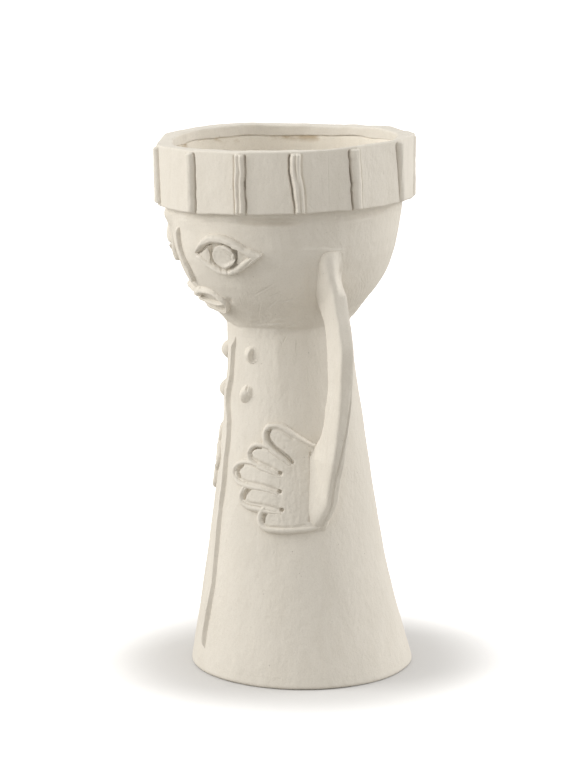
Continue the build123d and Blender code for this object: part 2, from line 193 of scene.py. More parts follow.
def skin_offset(psi, s):
    base = polar(psi, s, 60.0 + 0 * psi, 0.0 * psi)
    d = 0.60 * fbm(base, (46, 46, 60), 2, 3)
    d = d + 0.30 * fbm(base, (17, 17, 24), 3, 11)
    d = d + 0.05 * fbm(base, (4.5, 4.5, 7.5), 2, 23)
    head = smoothstep(262, 280, s)
    d = d + head * 0.22 * fbm(base, (11, 11, 9), 2, 31)
    # drag marks of the fingers and of a scraper
    sweep = np.stack([np.radians(psi) * 90.0 + 0.9 * s, s - 0.55 * np.radians(psi) * 90.0, 0 * s + 3.0], -1)
    d = d + head * 0.11 * noise(sweep, (1.7, 13.0, 10.0), 33) * smoothstep(-0.3, 0.5, noise(base, 19, 34))
    d = d + 0.05 * noise(base, (2.0, 2.0, 2.8), 35)
    # the neck: luted with dabs of clay, scraped and left rough
    wave = 2.2 * noise(base, 24, 41) + 1.0 * noise(base, 9, 42)
    rough = np.exp(-((s - 272.0 - wave) / 10.0) ** 2)
    d = d + rough * (0.60 * fbm(base, (9, 9, 4.5), 3, 43) + 0.14 * fbm(base, (2.6, 2.6, 1.8), 2, 44))
    d = d - 0.50 * np.exp(-((s - 265.4 - wave) / 1.5) ** 2) * smoothstep(-0.5, 0.4, noise(base, 15, 45))
    d = d + 0.75 * smoothstep(265.6, 267.6, s - 0.4 * wave) * smoothstep(284.0, 270.0, s)
    d = d - 0.35 * np.exp(-((s - 279.0 - wave * 1.3) / 1.4) ** 2) * smoothstep(-0.2, 0.6, noise(base, 19, 46))
    # a soft vertical edge at the upper body, and a flat beside it
    for a0 in (58.5, 143.0, 222.0, 301.0):
        d = d + bump_at(psi, s, a0, 240.0, 3.4, 24.0, 0.42)
        d = d - bump_at(psi, s, a0 + 15.0, 240.0, 7.0, 22.0, 0.40)
        # a dark press mark where the head is joined
        d = d - bump_at(psi, s, a0 + 19.0, 263.6, 13.0, 3.2, 1.7, 0.10)
        d = d + bump_at(psi, s, a0 + 9.0, 270.0, 10.0, 3.0, 0.6, -0.15)
    # the brow
    for side in (1, -1):
        d = d + bump_at(psi, s, side * -13.0, 348.0, 11.0, 7.0, 3.9 if side > 0 else 1.0)
        # hollows beside the iris, and the pressed corner of the mouth
        d = d + bump_at(psi, s, side * 29.6, 327.1, 1.9, 6.5, -1.5)
        d = d + bump_at(psi, s, side * 44.0, 326.4, 1.9, 6.0, -1.5)
        d = d + bump_at(psi, s, side * 30.6, 289.4, 2.8, 1.7, -2.4, 0.5)
    # the joint under the band, dabbed and left ragged
    under = np.exp(-((s - 352.0) / 4.5) ** 2)
    d = d + under * (0.75 * fbm(base, (12, 12, 3.6), 3, 47) + 0.2 * fbm(base, (3, 3, 2), 2, 48))
    # a deeper undercut where the band was pressed on less
    for a0, wide, deep in ((62.0, 15.0, 4.4), (108.0, 20.0, 1.8), (186.0, 16.0, 1.8), (250.0, 20.0, 2.0), (320.0, 14.0, 1.6)):
        da = (psi - a0 + 180.0) % 360.0 - 180.0
        d = d - deep * np.exp(-(da / wide) ** 4) * np.exp(-((s - 351.4 - 0.5 * wave) / 2.7) ** 2)
    # a dab of clay smeared over the head above each arm, and the hollow before it
    for side in (1, -1):
        da = side * psi
        da = (da + 180.0) % 360.0 - 180.0
        brim = 330.6 - 0.11 * (da - 76.0) + 0.9 * noise(base, 7, 49)
        flat = smoothstep(73.0, 87.0, da) * smoothstep(104.0, 94.0, da) * smoothstep(0.6, -0.5, s - brim) * smoothstep(316.0, 324.0, s)
        d = d + 0.8 * flat
        d = d + bump_at(side * psi, s, 83.0, 306.0, 3.4, 15.0, -1.5, 0.05)
    # scratches and scrapes
    for a0, s0, wide, tall, deep, turn in SCRAPES:
        da = (psi - a0 + 180.0) % 360.0 - 180.0
        m = (np.abs(da) < 16) & (np.abs(s - s0) < tall * 2.6)
        if not np.any(m):
            continue
        r = float(np.interp(s0, OUT[:, 0], OUT[:, 1]))
        c, si = math.cos(turn), math.sin(turn)
        du, dv = np.radians(da) * r, s - s0
        x = (du * c - dv * si) / wide
        y = (dv * c + du * si) / tall
        g = 1.7 * deep * (np.exp(-x * x) - 0.45 * np.exp(-((x - 1.7) / 1.0) ** 2)) * np.exp(-y * y)
        d = d - np.where(m, g, 0.0)
    return d


def skin_radius(psi, s):
    return soft_table(OUT, s, 1) + skin_offset(psi, s)


def skin(psi, s):
    return polar(psi, s, skin_radius(psi, s), soft_table(OUT, s, 2))


def base_hit(x, y, off=0.0):
    """(psi, s) where the sight line through pixel x, y of the photograph's
    frame meets the smooth skin, or its outward copy at a height of off."""
    d = CAM_FWD + CAM_RIGHT * (x - 287.5) / F_PX - CAM_UP * (y - 384.0) / F_PX
    d = d / np.linalg.norm(d)
    o, d = to_lean(CAM_POS), to_lean(d)
    t = np.linspace(1750, 2150, 4001)
    p = o + np.outer(t, d)
    r = np.interp(p[:, 2], OUT[:, 0], OUT[:, 1])
    sh = np.interp(p[:, 2], OUT[:, 0], OUT[:, 2])
    f = np.hypot(p[:, 0], p[:, 1] + sh) - (r + off)
    k = np.where((f[:-1] > 0) & (f[1:] <= 0))[0]
    if len(k) == 0:
        q = p[int(np.argmin(f))]
    else:
        k = k[0]
        q = p[k] + (p[k + 1] - p[k]) * f[k] / (f[k] - f[k + 1])
    shift = np.interp(q[2], OUT[:, 0], OUT[:, 2])
    return math.degrees(math.atan2(q[0], -(q[1] + shift))), float(q[2])


def trace(points, off=2.0, scale=None, origin=None):
    """Pixel points of the photograph's frame to (psi, s) on the skin. With a
    scale and origin they are places in an enlarged part of it."""
    out = []
    for p in points:
        x, y = p[0], p[1]
        if scale:
            x, y = origin[0] + x / scale, origin[1] + y / scale
        out.append(base_hit(x, y, off))
    return out


def curve(points, n=8):
    """A soft curve through points of any width."""
    p = [np.asarray(q, float) for q in points]
    p = [2 * p[0] - p[1]] + p + [2 * p[-1] - p[-2]]
    out = []
    for i in range(1, len(p) - 2):
        for j in range(n):
            t = j / n
            a, b, c, d = p[i - 1], p[i], p[i + 1], p[i + 2]
            out.append(0.5 * (2 * b + (c - a) * t + (2 * a - 5 * b + 4 * c - d) * t * t
                              + (3 * b - a - 3 * c + d) * t ** 3))
    out.append(p[-2])
    return np.array(out)


def on_skin(path, n=8):
    """Path of (psi, s) as 3-D points of the skin."""
    q = curve(path, n)
    return skin(q[:, 0], q[:, 1]), q


def near(points, line, chunk=20000):
    """Distance from points to a 3-D polyline, how far along it (0 to 1), and
    the side it is on (for a surface normal given later)."""
    a, b = line[:-1], line[1:]
    ab = b - a
    ll = (ab ** 2).sum(1) + 1e-12
    lens = np.sqrt(ll)
    cum = np.concatenate([[0], np.cumsum(lens)])
    flat = points.reshape(-1, 3)
    dist = np.empty(len(flat))
    along = np.empty(len(flat))
    vec = np.empty((len(flat), 3))
    tang = np.empty((len(flat), 3))
    for i in range(0, len(flat), chunk):
        p = flat[i:i + chunk]
        t = np.einsum('nmk,mk->nm', p[:, None, :] - a[None], ab) / ll
        t = np.clip(t, 0, 1)
        q = a[None] + t[..., None] * ab[None]
        d2 = ((p[:, None, :] - q) ** 2).sum(-1)
        m = np.argmin(d2, 1)
        r = np.arange(len(p))
        dist[i:i + chunk] = np.sqrt(d2[r, m])
        along[i:i + chunk] = (cum[m] + t[r, m] * lens[m]) / cum[-1]
        vec[i:i + chunk] = p - q[r, m]
        tang[i:i + chunk] = ab[m] / lens[m][:, None]
    sh = points.shape[:-1]
    return dist.reshape(sh), along.reshape(sh), vec.reshape(sh + (3,)), tang.reshape(sh + (3,))


# =====================================================================
# Mesh building
# =====================================================================
def make_object(name, verts, faces, mat, smooth=True):
    """faces is one array of faces, or a list of arrays of different widths."""
    groups = faces if isinstance(faces, list) else [faces]
    me = bpy.data.meshes.new(name)
    v = np.asarray(verts, np.float32) / 1000.0
    loops = np.concatenate([np.asarray(f, np.int32).ravel() for f in groups])
    sizes = np.concatenate([np.full(len(f), np.asarray(f).shape[1], np.int32) for f in groups])
    starts = np.concatenate([[0], np.cumsum(sizes)[:-1]]).astype(np.int32)
    me.vertices.add(len(v))
    me.vertices.foreach_set("co", v.ravel())
    me.loops.add(len(loops))
    me.loops.foreach_set("vertex_index", loops)
    me.polygons.add(len(sizes))
    me.polygons.foreach_set("loop_start", starts)
    me.polygons.foreach_set("use_smooth", np.full(len(sizes), smooth, dtype=bool))
    me.update(calc_edges=True)
    me.validate()
    me.materials.append(mat)
    ob = bpy.data.objects.new(name, me)
    bpy.context.scene.collection.objects.link(ob)
    return ob


def settle(ob, node):
    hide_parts(node)
    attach(ob, "root")
    return ob


def grid_faces(n, m, wrap=False, flip=False):
    """Quads of an n by m grid of points, rows first."""
    i = np.arange(n - 1)[:, None]
    cols = m if wrap else m - 1
    j = np.arange(cols)[None, :]
    j2 = (j + 1) % m
    a, b = i * m + j, i * m + j2
    c, d = (i + 1) * m + j2, (i + 1) * m + j
    f = np.stack([a, b, c, d], -1).reshape(-1, 4)
    return f[:, ::-1] if flip else f


def normals_of(p, wrap=False):
    """Point normals of a grid of 3-D points (rows, columns)."""
    if wrap:
        du = np.roll(p, -1, 1) - np.roll(p, 1, 1)
    else:
        du = np.gradient(p, axis=1)
    dv = np.gradient(p, axis=0)
    n = np.cross(du, dv)
    return n / (np.linalg.norm(n, axis=-1, keepdims=True) + 1e-12)


def relief(name, node, mat, psi, s, height, base=skin, sink=1.0, back=1.2, wide=True):
    """A closed piece of clay that lies on a skin: its top is height(P, psi, s)
    above the skin, and its edge and underside are sunk in it."""
    PS, S = np.meshgrid(psi, s)
    P = base(PS, S)
    N = normals_of(P)
    H = np.clip(height(P, PS, S, N), -sink, None)
    n, m = PS.shape
    top = P + N * H[..., None]
    live = H > -sink + 1e-6
    cell = live[:-1, :-1] | live[1:, :-1] | live[:-1, 1:] | live[1:, 1:]
    quads = grid_faces(n, m).reshape(n - 1, m - 1, 4)[cell]
    used = np.unique(quads)
    remap = -np.ones(n * m, int)
    remap[used] = np.arange(len(used))
    quads = remap[quads]
    tv = top.reshape(-1, 3)[used]
    bv = (P - N * (sink + back)).reshape(-1, 3)[used]
    k = len(used)
    # the rim of the sheet
    e = np.concatenate([quads[:, [0, 1]], quads[:, [1, 2]], quads[:, [2, 3]], quads[:, [3, 0]]])
    key = np.sort(e, 1)
    order = np.lexsort((key[:, 1], key[:, 0]))
    ks = key[order]
    same = np.all(ks[1:] == ks[:-1], 1)
    single = np.ones(len(ks), bool)
    single[1:] &= ~same
    single[:-1] &= ~same
    rim = e[order][single]
    side = np.stack([rim[:, 1], rim[:, 0], rim[:, 0] + k, rim[:, 1] + k], 1)
    faces = np.concatenate([quads, quads[:, ::-1] + k, side])
    verts = to_row(np.concatenate([tv, bv]))
    ob = make_object(name, verts, faces, mat)
    return settle(ob, node)


# =====================================================================
# Materials
# =====================================================================
def clay(name, warm=0.0, stain_and_inside_light=False, seed=0.0):
    """Matt unglazed fired clay: chalky, finely pored, a little uneven."""
    mat = bpy.data.materials.new(name)
    mat.use_nodes = True
    nt = mat.node_tree
    nt.nodes.clear()
    out = nt.nodes.new('ShaderNodeOutputMaterial')
    sh = nt.nodes.new('ShaderNodeBsdfPrincipled')
    nt.links.new(sh.outputs['BSDF'], out.inputs['Surface'])
    co = nt.nodes.new('ShaderNodeTexCoord')
    sh.inputs['Roughness'].default_value = 0.86
    sh.inputs['Specular IOR Level'].default_value = 0.28

    def tex(kind, **kw):
        n = nt.nodes.new(kind)
        for k, v in kw.items():
            if k in n.inputs:
                n.inputs[k].default_value = v
            else:
                setattr(n, k, v)
        return n

    def mapping(scale, loc=(0, 0, 0)):
        m = nt.nodes.new('ShaderNodeMapping')
        m.inputs['Scale'].default_value = scale
        m.inputs['Location'].default_value = (loc[0] + seed, loc[1], loc[2])
        nt.links.new(co.outputs['Object'], m.inputs['Vector'])
        return m

    def ramp(src, stops):
        r = nt.nodes.new('ShaderNodeValToRGB')
        el = r.color_ramp.elements
        while len(el) < len(stops):
            el.new(0.5)
        for e, (pos, col) in zip(el, stops):
            e.position = pos
            e.color = (col[0], col[1], col[2], 1)
        nt.links.new(src, r.inputs['Fac'])
        return r

    def mixc(a, b, fac, blend='MIX'):
        m = nt.nodes.new('ShaderNodeMix')
        m.data_type = 'RGBA'
        m.blend_type = blend
        if hasattr(fac, 'is_output'):
            nt.links.new(fac, m.inputs[0])
        else:
            m.inputs[0].default_value = fac
        for sock, val in ((m.inputs[6], a), (m.inputs[7], b)):
            if hasattr(val, 'is_output'):
                nt.links.new(val, sock)
            else:
                sock.default_value = (val[0], val[1], val[2], 1)
        return m.outputs[2]

    base = BASE_WARM if warm else BASE
    # broad cloudiness of the body
    m1 = mapping((14, 14, 9))
    n1 = tex('ShaderNodeTexNoise', Scale=1.0, Detail=5.0, Roughness=0.55)
    nt.links.new(m1.outputs[0], n1.inputs['Vector'])
    r1 = ramp(n1.outputs['Fac'], [(0.32, tuple(c * 0.955 for c in base)), (0.52, base),
                                  (0.72, tuple(min(1, c * 1.035) for c in base))])
    # hand-smoothed smears
    m2 = mapping((60, 60, 22), (3, 1, 7))
    n2 = tex('ShaderNodeTexNoise', Scale=1.0, Detail=6.0, Roughness=0.62, Distortion=0.6)
    nt.links.new(m2.outputs[0], n2.inputs['Vector'])
    r2 = ramp(n2.outputs['Fac'], [(0.35, (0.955, 0.95, 0.94)), (0.55, (1, 1, 1)), (0.8, (1.0, 0.995, 0.985))])
    c = mixc(r1.outputs['Color'], r2.outputs['Color'], 0.75, 'MULTIPLY')
    # fine grain
    m3 = mapping((900, 900, 900), (5, 5, 5))
    n3 = tex('ShaderNodeTexNoise', Scale=1.0, Detail=2.0, Roughness=0.6)
    nt.links.new(m3.outputs[0], n3.inputs['Vector'])
    r3 = ramp(n3.outputs['Fac'], [(0.30, (0.93, 0.925, 0.915)), (0.5, (1, 1, 1)), (0.75, (1.0, 1.0, 1.0))])
    c = mixc(c, r3.outputs['Color'], 0.7, 'MULTIPLY')
    # sparse dark specks, pores
    m4 = mapping((260, 260, 260), (9, 2, 4))
    v4 = tex('ShaderNodeTexVoronoi', Scale=1.0, Randomness=1.0)
    nt.links.new(m4.outputs[0], v4.inputs['Vector'])
    m5 = mapping((95, 95, 95), (1, 8, 4))
    n5 = tex('ShaderNodeTexNoise', Scale=1.0, Detail=1.0)
    nt.links.new(m5.outputs[0], n5.inputs['Vector'])
    r4 = ramp(v4.outputs['Distance'], [(0.045, (1, 1, 1)), (0.10, (0, 0, 0))])
    r5 = ramp(n5.outputs['Fac'], [(0.60, (0, 0, 0)), (0.66, (1, 1, 1))])
    mm = nt.nodes.new('ShaderNodeMath')
    mm.operation = 'MULTIPLY'
    nt.links.new(r4.outputs['Color'], mm.inputs[0])
    nt.links.new(r5.outputs['Color'], mm.inputs[1])
    c = mixc(c, tuple(k * 0.72 for k in base), mm.outputs[0])
    if stain_and_inside_light:
        # old water line under the turned edge of the rim (a real stain); painted light inside the head follows below
        geo = nt.nodes.new('ShaderNodeTexCoord')
        sep = nt.nodes.new('ShaderNodeSeparateXYZ')
        nt.links.new(geo.outputs['Object'], sep.inputs[0])
        # height along the leaning axis
        mz = nt.nodes.new('ShaderNodeMath')
        mz.operation = 'MULTIPLY_ADD'
        nt.links.new(sep.outputs['Y'], mz.inputs[0])
        mz.inputs[1].default_value = -math.sin(LEAN)
        nt.links.new(sep.outputs['Z'], mz.inputs[2])
        ms = mapping((34, 34, 60), (2, 2, 2))
        ns = tex('ShaderNodeTexNoise', Scale=1.0, Detail=4.0, Roughness=0.6)
        nt.links.new(ms.outputs[0], ns.inputs['Vector'])
        mw = nt.nodes.new('ShaderNodeMath')
        mw.operation = 'MULTIPLY_ADD'
        nt.links.new(ns.outputs['Fac'], mw.inputs[0])
        mw.inputs[1].default_value = 0.010
        nt.links.new(mz.outputs[0], mw.inputs[2])
        mr = nt.nodes.new('ShaderNodeMapRange')
        nt.links.new(mw.outputs[0], mr.inputs['Value'])
        mr.inputs['From Min'].default_value = 0.3937
        mr.inputs['From Max'].default_value = 0.3977
        rp = ramp(ns.outputs['Fac'], [(0.50, (0, 0, 0)), (0.62, (1, 1, 1))])
        mx = nt.nodes.new('ShaderNodeMath')
        mx.operation = 'MULTIPLY'
        nt.links.new(mr.outputs['Result'], mx.inputs[0])
        nt.links.new(rp.outputs['Color'], mx.inputs[1])
        my = nt.nodes.new('ShaderNodeMath')
        my.operation = 'MULTIPLY'
        nt.links.new(mx.outputs[0], my.inputs[0])
        my.inputs[1].default_value = 0.75
        # painted light: above the band's foot the head's clay is made lighter, so its inside looks more brightly lit
        inside_painted_light = nt.nodes.new('ShaderNodeMapRange')
        nt.links.new(mz.outputs[0], inside_painted_light.inputs['Value'])
        inside_painted_light.inputs['From Min'].default_value = 0.356
        inside_painted_light.inputs['From Max'].default_value = 0.366
        c = mixc(c, INSIDE_PAINTED_LIGHT, inside_painted_light.outputs['Result'], 'MULTIPLY')
        c = mixc(c, STAIN, my.outputs[0])
    nt.links.new(c, sh.inputs['Base Color'])
    # surface tooth: fine grain, pores and faint drag marks
    b1 = nt.nodes.new('ShaderNodeBump')
    b1.inputs['Strength'].default_value = 0.30
    b1.inputs['Distance'].default_value = 0.00022
    nt.links.new(n3.outputs['Fac'], b1.inputs['Height'])
    b2 = nt.nodes.new('ShaderNodeBump')
    b2.inputs['Strength'].default_value = 0.50
    b2.inputs['Distance'].default_value = 0.0011
    m6 = mapping((210, 210, 120), (4, 3, 1))
    n6 = tex('ShaderNodeTexNoise', Scale=1.0, Detail=4.0, Roughness=0.62)
    nt.links.new(m6.outputs[0], n6.inputs['Vector'])
    nt.links.new(n6.outputs['Fac'], b2.inputs['Height'])
    nt.links.new(b1.outputs['Normal'], b2.inputs['Normal'])
    b3 = nt.nodes.new('ShaderNodeBump')
    b3.invert = True
    b3.inputs['Strength'].default_value = 0.8
    b3.inputs['Distance'].default_value = 0.0006
    nt.links.new(mm.outputs[0], b3.inputs['Height'])
    nt.links.new(b2.outputs['Normal'], b3.inputs['Normal'])
    nt.links.new(b3.outputs['Normal'], sh.inputs['Normal'])
    return mat


BASE = (0.735, 0.690, 0.615)
BASE_WARM = (0.765, 0.705, 0.605)
STAIN = (0.42, 0.31, 0.18)
# painted light: how much lighter the inside of the head is made
INSIDE_PAINTED_LIGHT = (1.13, 1.125, 1.11)

CLAY_BODY = clay("clay_body", seed=0.0)
CLAY_HEAD = clay("clay_head", seed=2.0, stain_and_inside_light=True)
CLAY_BAND = clay("clay_band", seed=4.0)
CLAY_ARM = clay("clay_arm", seed=6.0)
CLAY_TRIM = clay("clay_trim", seed=8.0)


# =====================================================================
# Walls: outer skin, rim and inner skin of a hollow turned piece
# =====================================================================
def ring_points(n):
    return np.arange(n) * 360.0 / n


def level_s(psi, z):
    """Height along the leaning axis where the skin is at level z."""
    s = np.full_like(psi, z, dtype=float)
    for _ in range(4):
        r = soft_table(OUT, s, 1)
        y = -r * np.cos(np.radians(psi)) - soft_table(OUT, s, 2)
        s = (z - y * SL) / CL
    return s


def inner_skin(psi, s):
    r = soft_table(INN, s, 1) + 0.5 * fbm(polar(psi, s, 50.0 + 0 * s, 0 * s), (30, 30, 34), 3, 57)
    return polar(psi, s, r, soft_table(INN, s, 2))


def wall_piece(name, node, mat, low, high, n_around, rows_out, rows_in):
    """Closed ring of wall. low and high give the heights of its ends."""
    psi = ring_points(n_around)
    a, b = low(psi), high(psi)
    k = np.linspace(0, 1, rows_out)
    k = np.concatenate([[0, 0.0003], k[1:-1], [0.9997, 1]])
    outer = [skin(psi, a + (b - a) * t) for t in k]
    inner = [inner_skin(psi, b + (a - b) * t) for t in np.linspace(0, 1, rows_in)]
    p = to_row(np.array(outer + inner))
    n, m = p.shape[0], p.shape[1]
    faces = grid_faces(n, m, wrap=True)
    i = np.arange(m)
    j = (i + 1) % m
    close = np.stack([(n - 1) * m + i, (n - 1) * m + j, j, i], 1)
    ob = make_object(name, p.reshape(-1, 3), np.concatenate([faces, close]), mat)
    return settle(ob, node)


wall_piece("body_wall", "body_cone", CLAY_BODY, lambda q: level_s(q, 8.0),
           lambda q: NECK_S + 0 * q, 760, 320, 90)
wall_piece("head_wall", "head_bowl", CLAY_HEAD, lambda q: NECK_S + 0 * q,
           lambda q: 392.8 + np.interp(q, [200, 221, 242, 260, 282, 307, 330, 350, 360], [0, -0.5, -0.5, 0.6, 2.4, 2.4, 1.2, 0.4, 0.2]),
           940, 200, 60)


def floor_slab():
    """The floor of the vase: a disc whose side carries on the body's skin."""
    n = 760
    psi = ring_points(n)
    rows = []
    c = to_row(polar(psi, level_s(psi, 0.0), 1.0, soft_table(OUT, 0 * psi, 2)))
    for z in (8.0, 7.998, 7.0, 6.0, 5.0, 4.0, 3.0):
        rows.append(to_row(skin(psi, level_s(psi, z))))
    base = rows[-1]
    mid = base.mean(axis=0)
    d = base - mid
    ln = np.linalg.norm(d[:, :2], axis=1, keepdims=True)
    soft = 2.3 + 0.5 * noise(base, 25, 77)[:, None]
    for t in np.linspace(0, math.pi / 2, 8)[1:]:
        z = 3.0 * (1 - math.sin(t))
        at = to_row(skin(psi, level_s(psi, z)))
        q = at.copy()
        q[:, :2] -= d[:, :2] / ln * soft * (1 - math.cos(t))
        q[:, 2] = z
        rows.append(q)
    last = rows[-1]
    for k in (0.9, 0.6, 0.3, 0.05):
        q = last.copy()
        q[:, :2] = mid[:2] + (last[:, :2] - mid[:2]) * k
        q[:, 2] = 0.0 if k > 0.85 else 0.6
        rows.append(q)
    rows = rows[::-1]
    top = rows[-1]
    for k in (0.97, 0.93, 0.9, 0.85, 0.7, 0.5, 0.3, 0.15, 0.05):
        q = top.copy()
        q[:, :2] = mid[:2] + (top[:, :2] - mid[:2]) * k
        q[:, 2] = 8.0
        if k < 0.9:
            q[:, 2] = 7.75 + 0.3 * fbm(q, 20, 2, 71) - 0.3 * (1 - k)
        rows.append(q)
    p = np.array(rows)
    quads = grid_faces(len(rows), n, wrap=True)
    ring = np.arange(n)
    nxt = (ring + 1) % n
    last_row = (len(rows) - 1) * n
    under, over = len(rows) * n, len(rows) * n + 1
    caps = np.concatenate([np.stack([nxt, ring, 0 * ring + under], 1),
                           np.stack([last_row + ring, last_row + nxt, 0 * ring + over], 1)])
    centre = np.array([p[0].mean(axis=0), p[-1].mean(axis=0)])
    ob = make_object("floor_slab", np.concatenate([p.reshape(-1, 3), centre]), [quads, caps], CLAY_BODY)
    settle(ob, "base_slab")


floor_slab()


# =====================================================================
# The rim band and its ribs
# =====================================================================
RIB_PSI = np.array(RIBS)
BAND_SHIFT_TOP, BAND_SHIFT_LOW = -0.9, 0.4


def band_corner(s):
    k = (s - BAND_BOTTOM_S) / (TOP_S - BAND_BOTTOM_S)
    return 95.6 + k * 0.6


def band_radius(psi, s, flat=0.80):
    """Radius of the band's outer face: flat panels that meet at the ribs."""
    q = (psi - RIB_PSI[0]) % 360.0
    edges = np.concatenate([RIB_PSI - RIB_PSI[0], [360.0]])
    i = np.clip(np.searchsorted(edges, q, side='right') - 1, 0, 11)
    half = np.radians(edges[i + 1] - edges[i]) / 2
    t = np.radians(q - edges[i]) - half
    rc = band_corner(s)
    chord = rc * np.cos(half) / np.cos(t)
    r = flat * chord + (1 - flat) * rc
    return r


def rib_wander(i, s):
    """Sideways wander of rib i, in millimetres, at height s."""
    k = (s - BAND_BOTTOM_S) / (TOP_S - BAND_BOTTOM_S)
    w = 0.35 * noise(np.stack([s * 0 + i * 13.7, s, s * 0], -1), 13, 5) \
        + 0.22 * noise(np.stack([s * 0 + i * 3.7, s, s * 0], -1), 5, 6)
    lean = {0: 0.6, 1: 0.3, 2: 0.2, 4: 1.9, 5: 3.0}.get(i, 0.4 * math.sin(i * 2.1))
    w = w + lean * (0.5 - k) * 2
    if i == 5:
        w = w + 2.0
    if i == 3:
        # bent as it was laid
        w = w + 2.3 * smoothstep(390, 368, s) - 1.5 + 0.9 * smoothstep(372, 358, s)
    return w


def rib_half(i, s):
    """Half the width of rib i at height s."""
    q = np.stack([s, s * 0 + i * 7.0, s * 0], -1)
    return 3.9 + 0.30 * noise(q, 11, 61) + 0.18 * noise(q, 4, 62)


# depth of the crease at the left and right foot of each rib
CREASES = [(1.4, 1.3), (0.6, 5.2), (1.2, 3.6), (3.6, 0.9), (5.0, 0.5), (3.8, 1.0), (1.3, 1.4), (0.9, 1.7),
           (1.5, 1.5), (1.1, 1.9), (1.6, 1.1), (1.2, 1.6)]
# angle, height, half-width, half-length, depth, slant
BAND_MARKS = [(118.5, 379.5, 1.3, 1.3, 0.35, 0.0), (89.0, 382.0, 0.35, 16.0, 0.22, 0.02), (86.0, 377.0, 0.3, 7.0, 0.16, 0.1),
              (62.0, 389.0, 0.3, 5.0, 0.15, 0.7), (64.0, 380.0, 0.3, 7.0, 0.13, 0.9), (36.0, 392.0, 0.4, 6.0, 0.12, 0.5),
              (94.0, 363.0, 0.35, 5.0, 0.25, -0.9), (97.0, 368.0, 0.3, 4.0, 0.2, -0.6), (81.0, 362.0, 0.4, 6.0, 0.2, 0.8),
              (84.0, 395.0, 0.35, 4.0, 0.2, 1.2), (118.0, 363.0, 0.4, 5.0, 0.16, -0.9), (42.0, 366.0, 0.4, 5.0, 0.14, 0.9),
              (150.0, 380.0, 0.4, 8.0, 0.15, 0.3), (210.0, 385.0, 0.4, 9.0, 0.2, 0.5), (270.0, 372.0, 0.4, 7.0, 0.2, -0.6)]


def rib_lateral(psi, s, i):
    """Distance along the band from rib i's middle."""
    d = (psi - RIB_PSI[i] + 180.0) % 360.0 - 180.0
    return np.radians(d) * 95.5 - rib_wander(i, s)


def band_low(psi):
    """Wavy lower edge of the band."""
    p = polar(psi, 0 * psi, 95 + 0 * psi, 0 * psi)
    a = np.radians(psi)
    return (355.2 + 2.3 * np.cos(a - math.radians(70)) * 0.9 - 0.6 - 1.3 * np.exp(-(((psi - 156.0 + 180.0) % 360.0 - 180.0) / 12.0) ** 2)
            + 1.6 * np.exp(-(((psi + 12.0 + 180.0) % 360.0 - 180.0) / 9.0) ** 2)
            + 0.55 * noise(p, 22, 81) + 0.2 * noise(p, 8, 82))


# unevenness of the top edge, of the turned edge inside, and the inward slope of the lip
TOP_WAVE = np.array([(0, 0.5), (20, 0.8), (43, 1.5), (61, 1.7), (76, 0.8), (95, 1.3), (116, 1.9), (130, 1.6), (145, 0.9),
                     (160, 0.0), (180, -0.3), (203, -0.6), (225, -1.2), (243, 0.0), (259, 1.3), (277, 2.8), (296, 3.1),
                     (315, 2.1), (335, 1.5), (350, 0.8), (360, 0.5)], float)
EDGE_WAVE = np.array([(0, 0.3), (20, 0.0), (200, 0.0), (221, -0.6), (242, -0.6), (260, 0.7), (282, 2.6), (307, 2.6),
                      (330, 1.4), (350, 0.5), (360, 0.3)], float)
LIP_SLOPE = np.array([(0, 0.2), (76, 0.3), (95, 1.3), (116, 2.9), (130, 3.1), (145, 1.8), (165, 0.4), (200, 0.2),
                      (360, 0.2)], float)


def round_table(table, psi):
    """Table value by angle, eased round its corners."""
    total = 0.0
    for d, k in ((-8.0, 1), (-4.0, 2), (0.0, 2), (4.0, 2), (8.0, 1)):
        total = total + k * np.interp((psi + d) % 360.0, table[:, 0], table[:, 1])
    return total / 8.0


def turned_edge(psi):
    p = polar(psi, 0 * psi, 95 + 0 * psi, 0 * psi)
    return 392.3 + round_table(EDGE_WAVE, psi) + 0.8 * noise(p, 26, 104) + 0.4 * noise(p, 9, 105)


def band_top(psi):
    p = polar(psi, 0 * psi, 95 + 0 * psi, 0 * psi)
    return TOP_S - 0.9 + round_table(TOP_WAVE, psi) + 0.4 * noise(p, 24, 83) + 0.2 * noise(p, 9, 84)


def band_face(psi, s):
    """The band's outer face, hand-smoothed, hollowed under each rib."""
    r = band_radius(psi, s)
    p = polar(psi, s, r, 0 * s)
    r = r + 0.38 * fbm(p, (26, 26, 22), 2, 91) + 0.12 * fbm(p, (8, 8, 9), 2, 93)
    r = r + 0.05 * fbm(p, (2.6, 2.6, 4.5), 2, 95)
    # the crease pressed in at both feet of each rib
    end = smoothstep(354.5, 356.5, s) * smoothstep(TOP_S - 1.2, TOP_S - 3.0, s)
    for i in range(12):
        u = rib_lateral(psi, s, i)
        left, right = CREASES[i]
        wave = 1 + 0.35 * noise(np.stack([s, s * 0 + i * 9.0, s * 0], -1), 6, 97)
        r = r - left * wave * np.exp(-((u + rib_half(i, s) + 0.2) / (0.55 + 0.06 * left)) ** 2) * end
        r = r - right * wave * np.exp(-((u - rib_half(i, s) - 0.2) / (0.55 + 0.06 * right)) ** 2) * end
    # scratches and a small pressed spot in the panels
    for a0, s0, wide, tall, deep, turn in BAND_MARKS:
        du = np.radians((psi - a0 + 180.0) % 360.0 - 180.0) * 96.0
        dv = s - s0
        c, si = math.cos(turn), math.sin(turn)
        r = r - deep * np.exp(-((du * c + dv * si) / wide) ** 2 - ((dv * c - du * si) / tall) ** 2)
    return r


def band_shift(s):
    k = np.clip((s - BAND_BOTTOM_S) / (TOP_S - BAND_BOTTOM_S), 0, 1)
    return BAND_SHIFT_LOW + k * (BAND_SHIFT_TOP - BAND_SHIFT_LOW)


def band_skin(psi, s):
    return polar(psi, s, band_face(psi, s), band_shift(s))


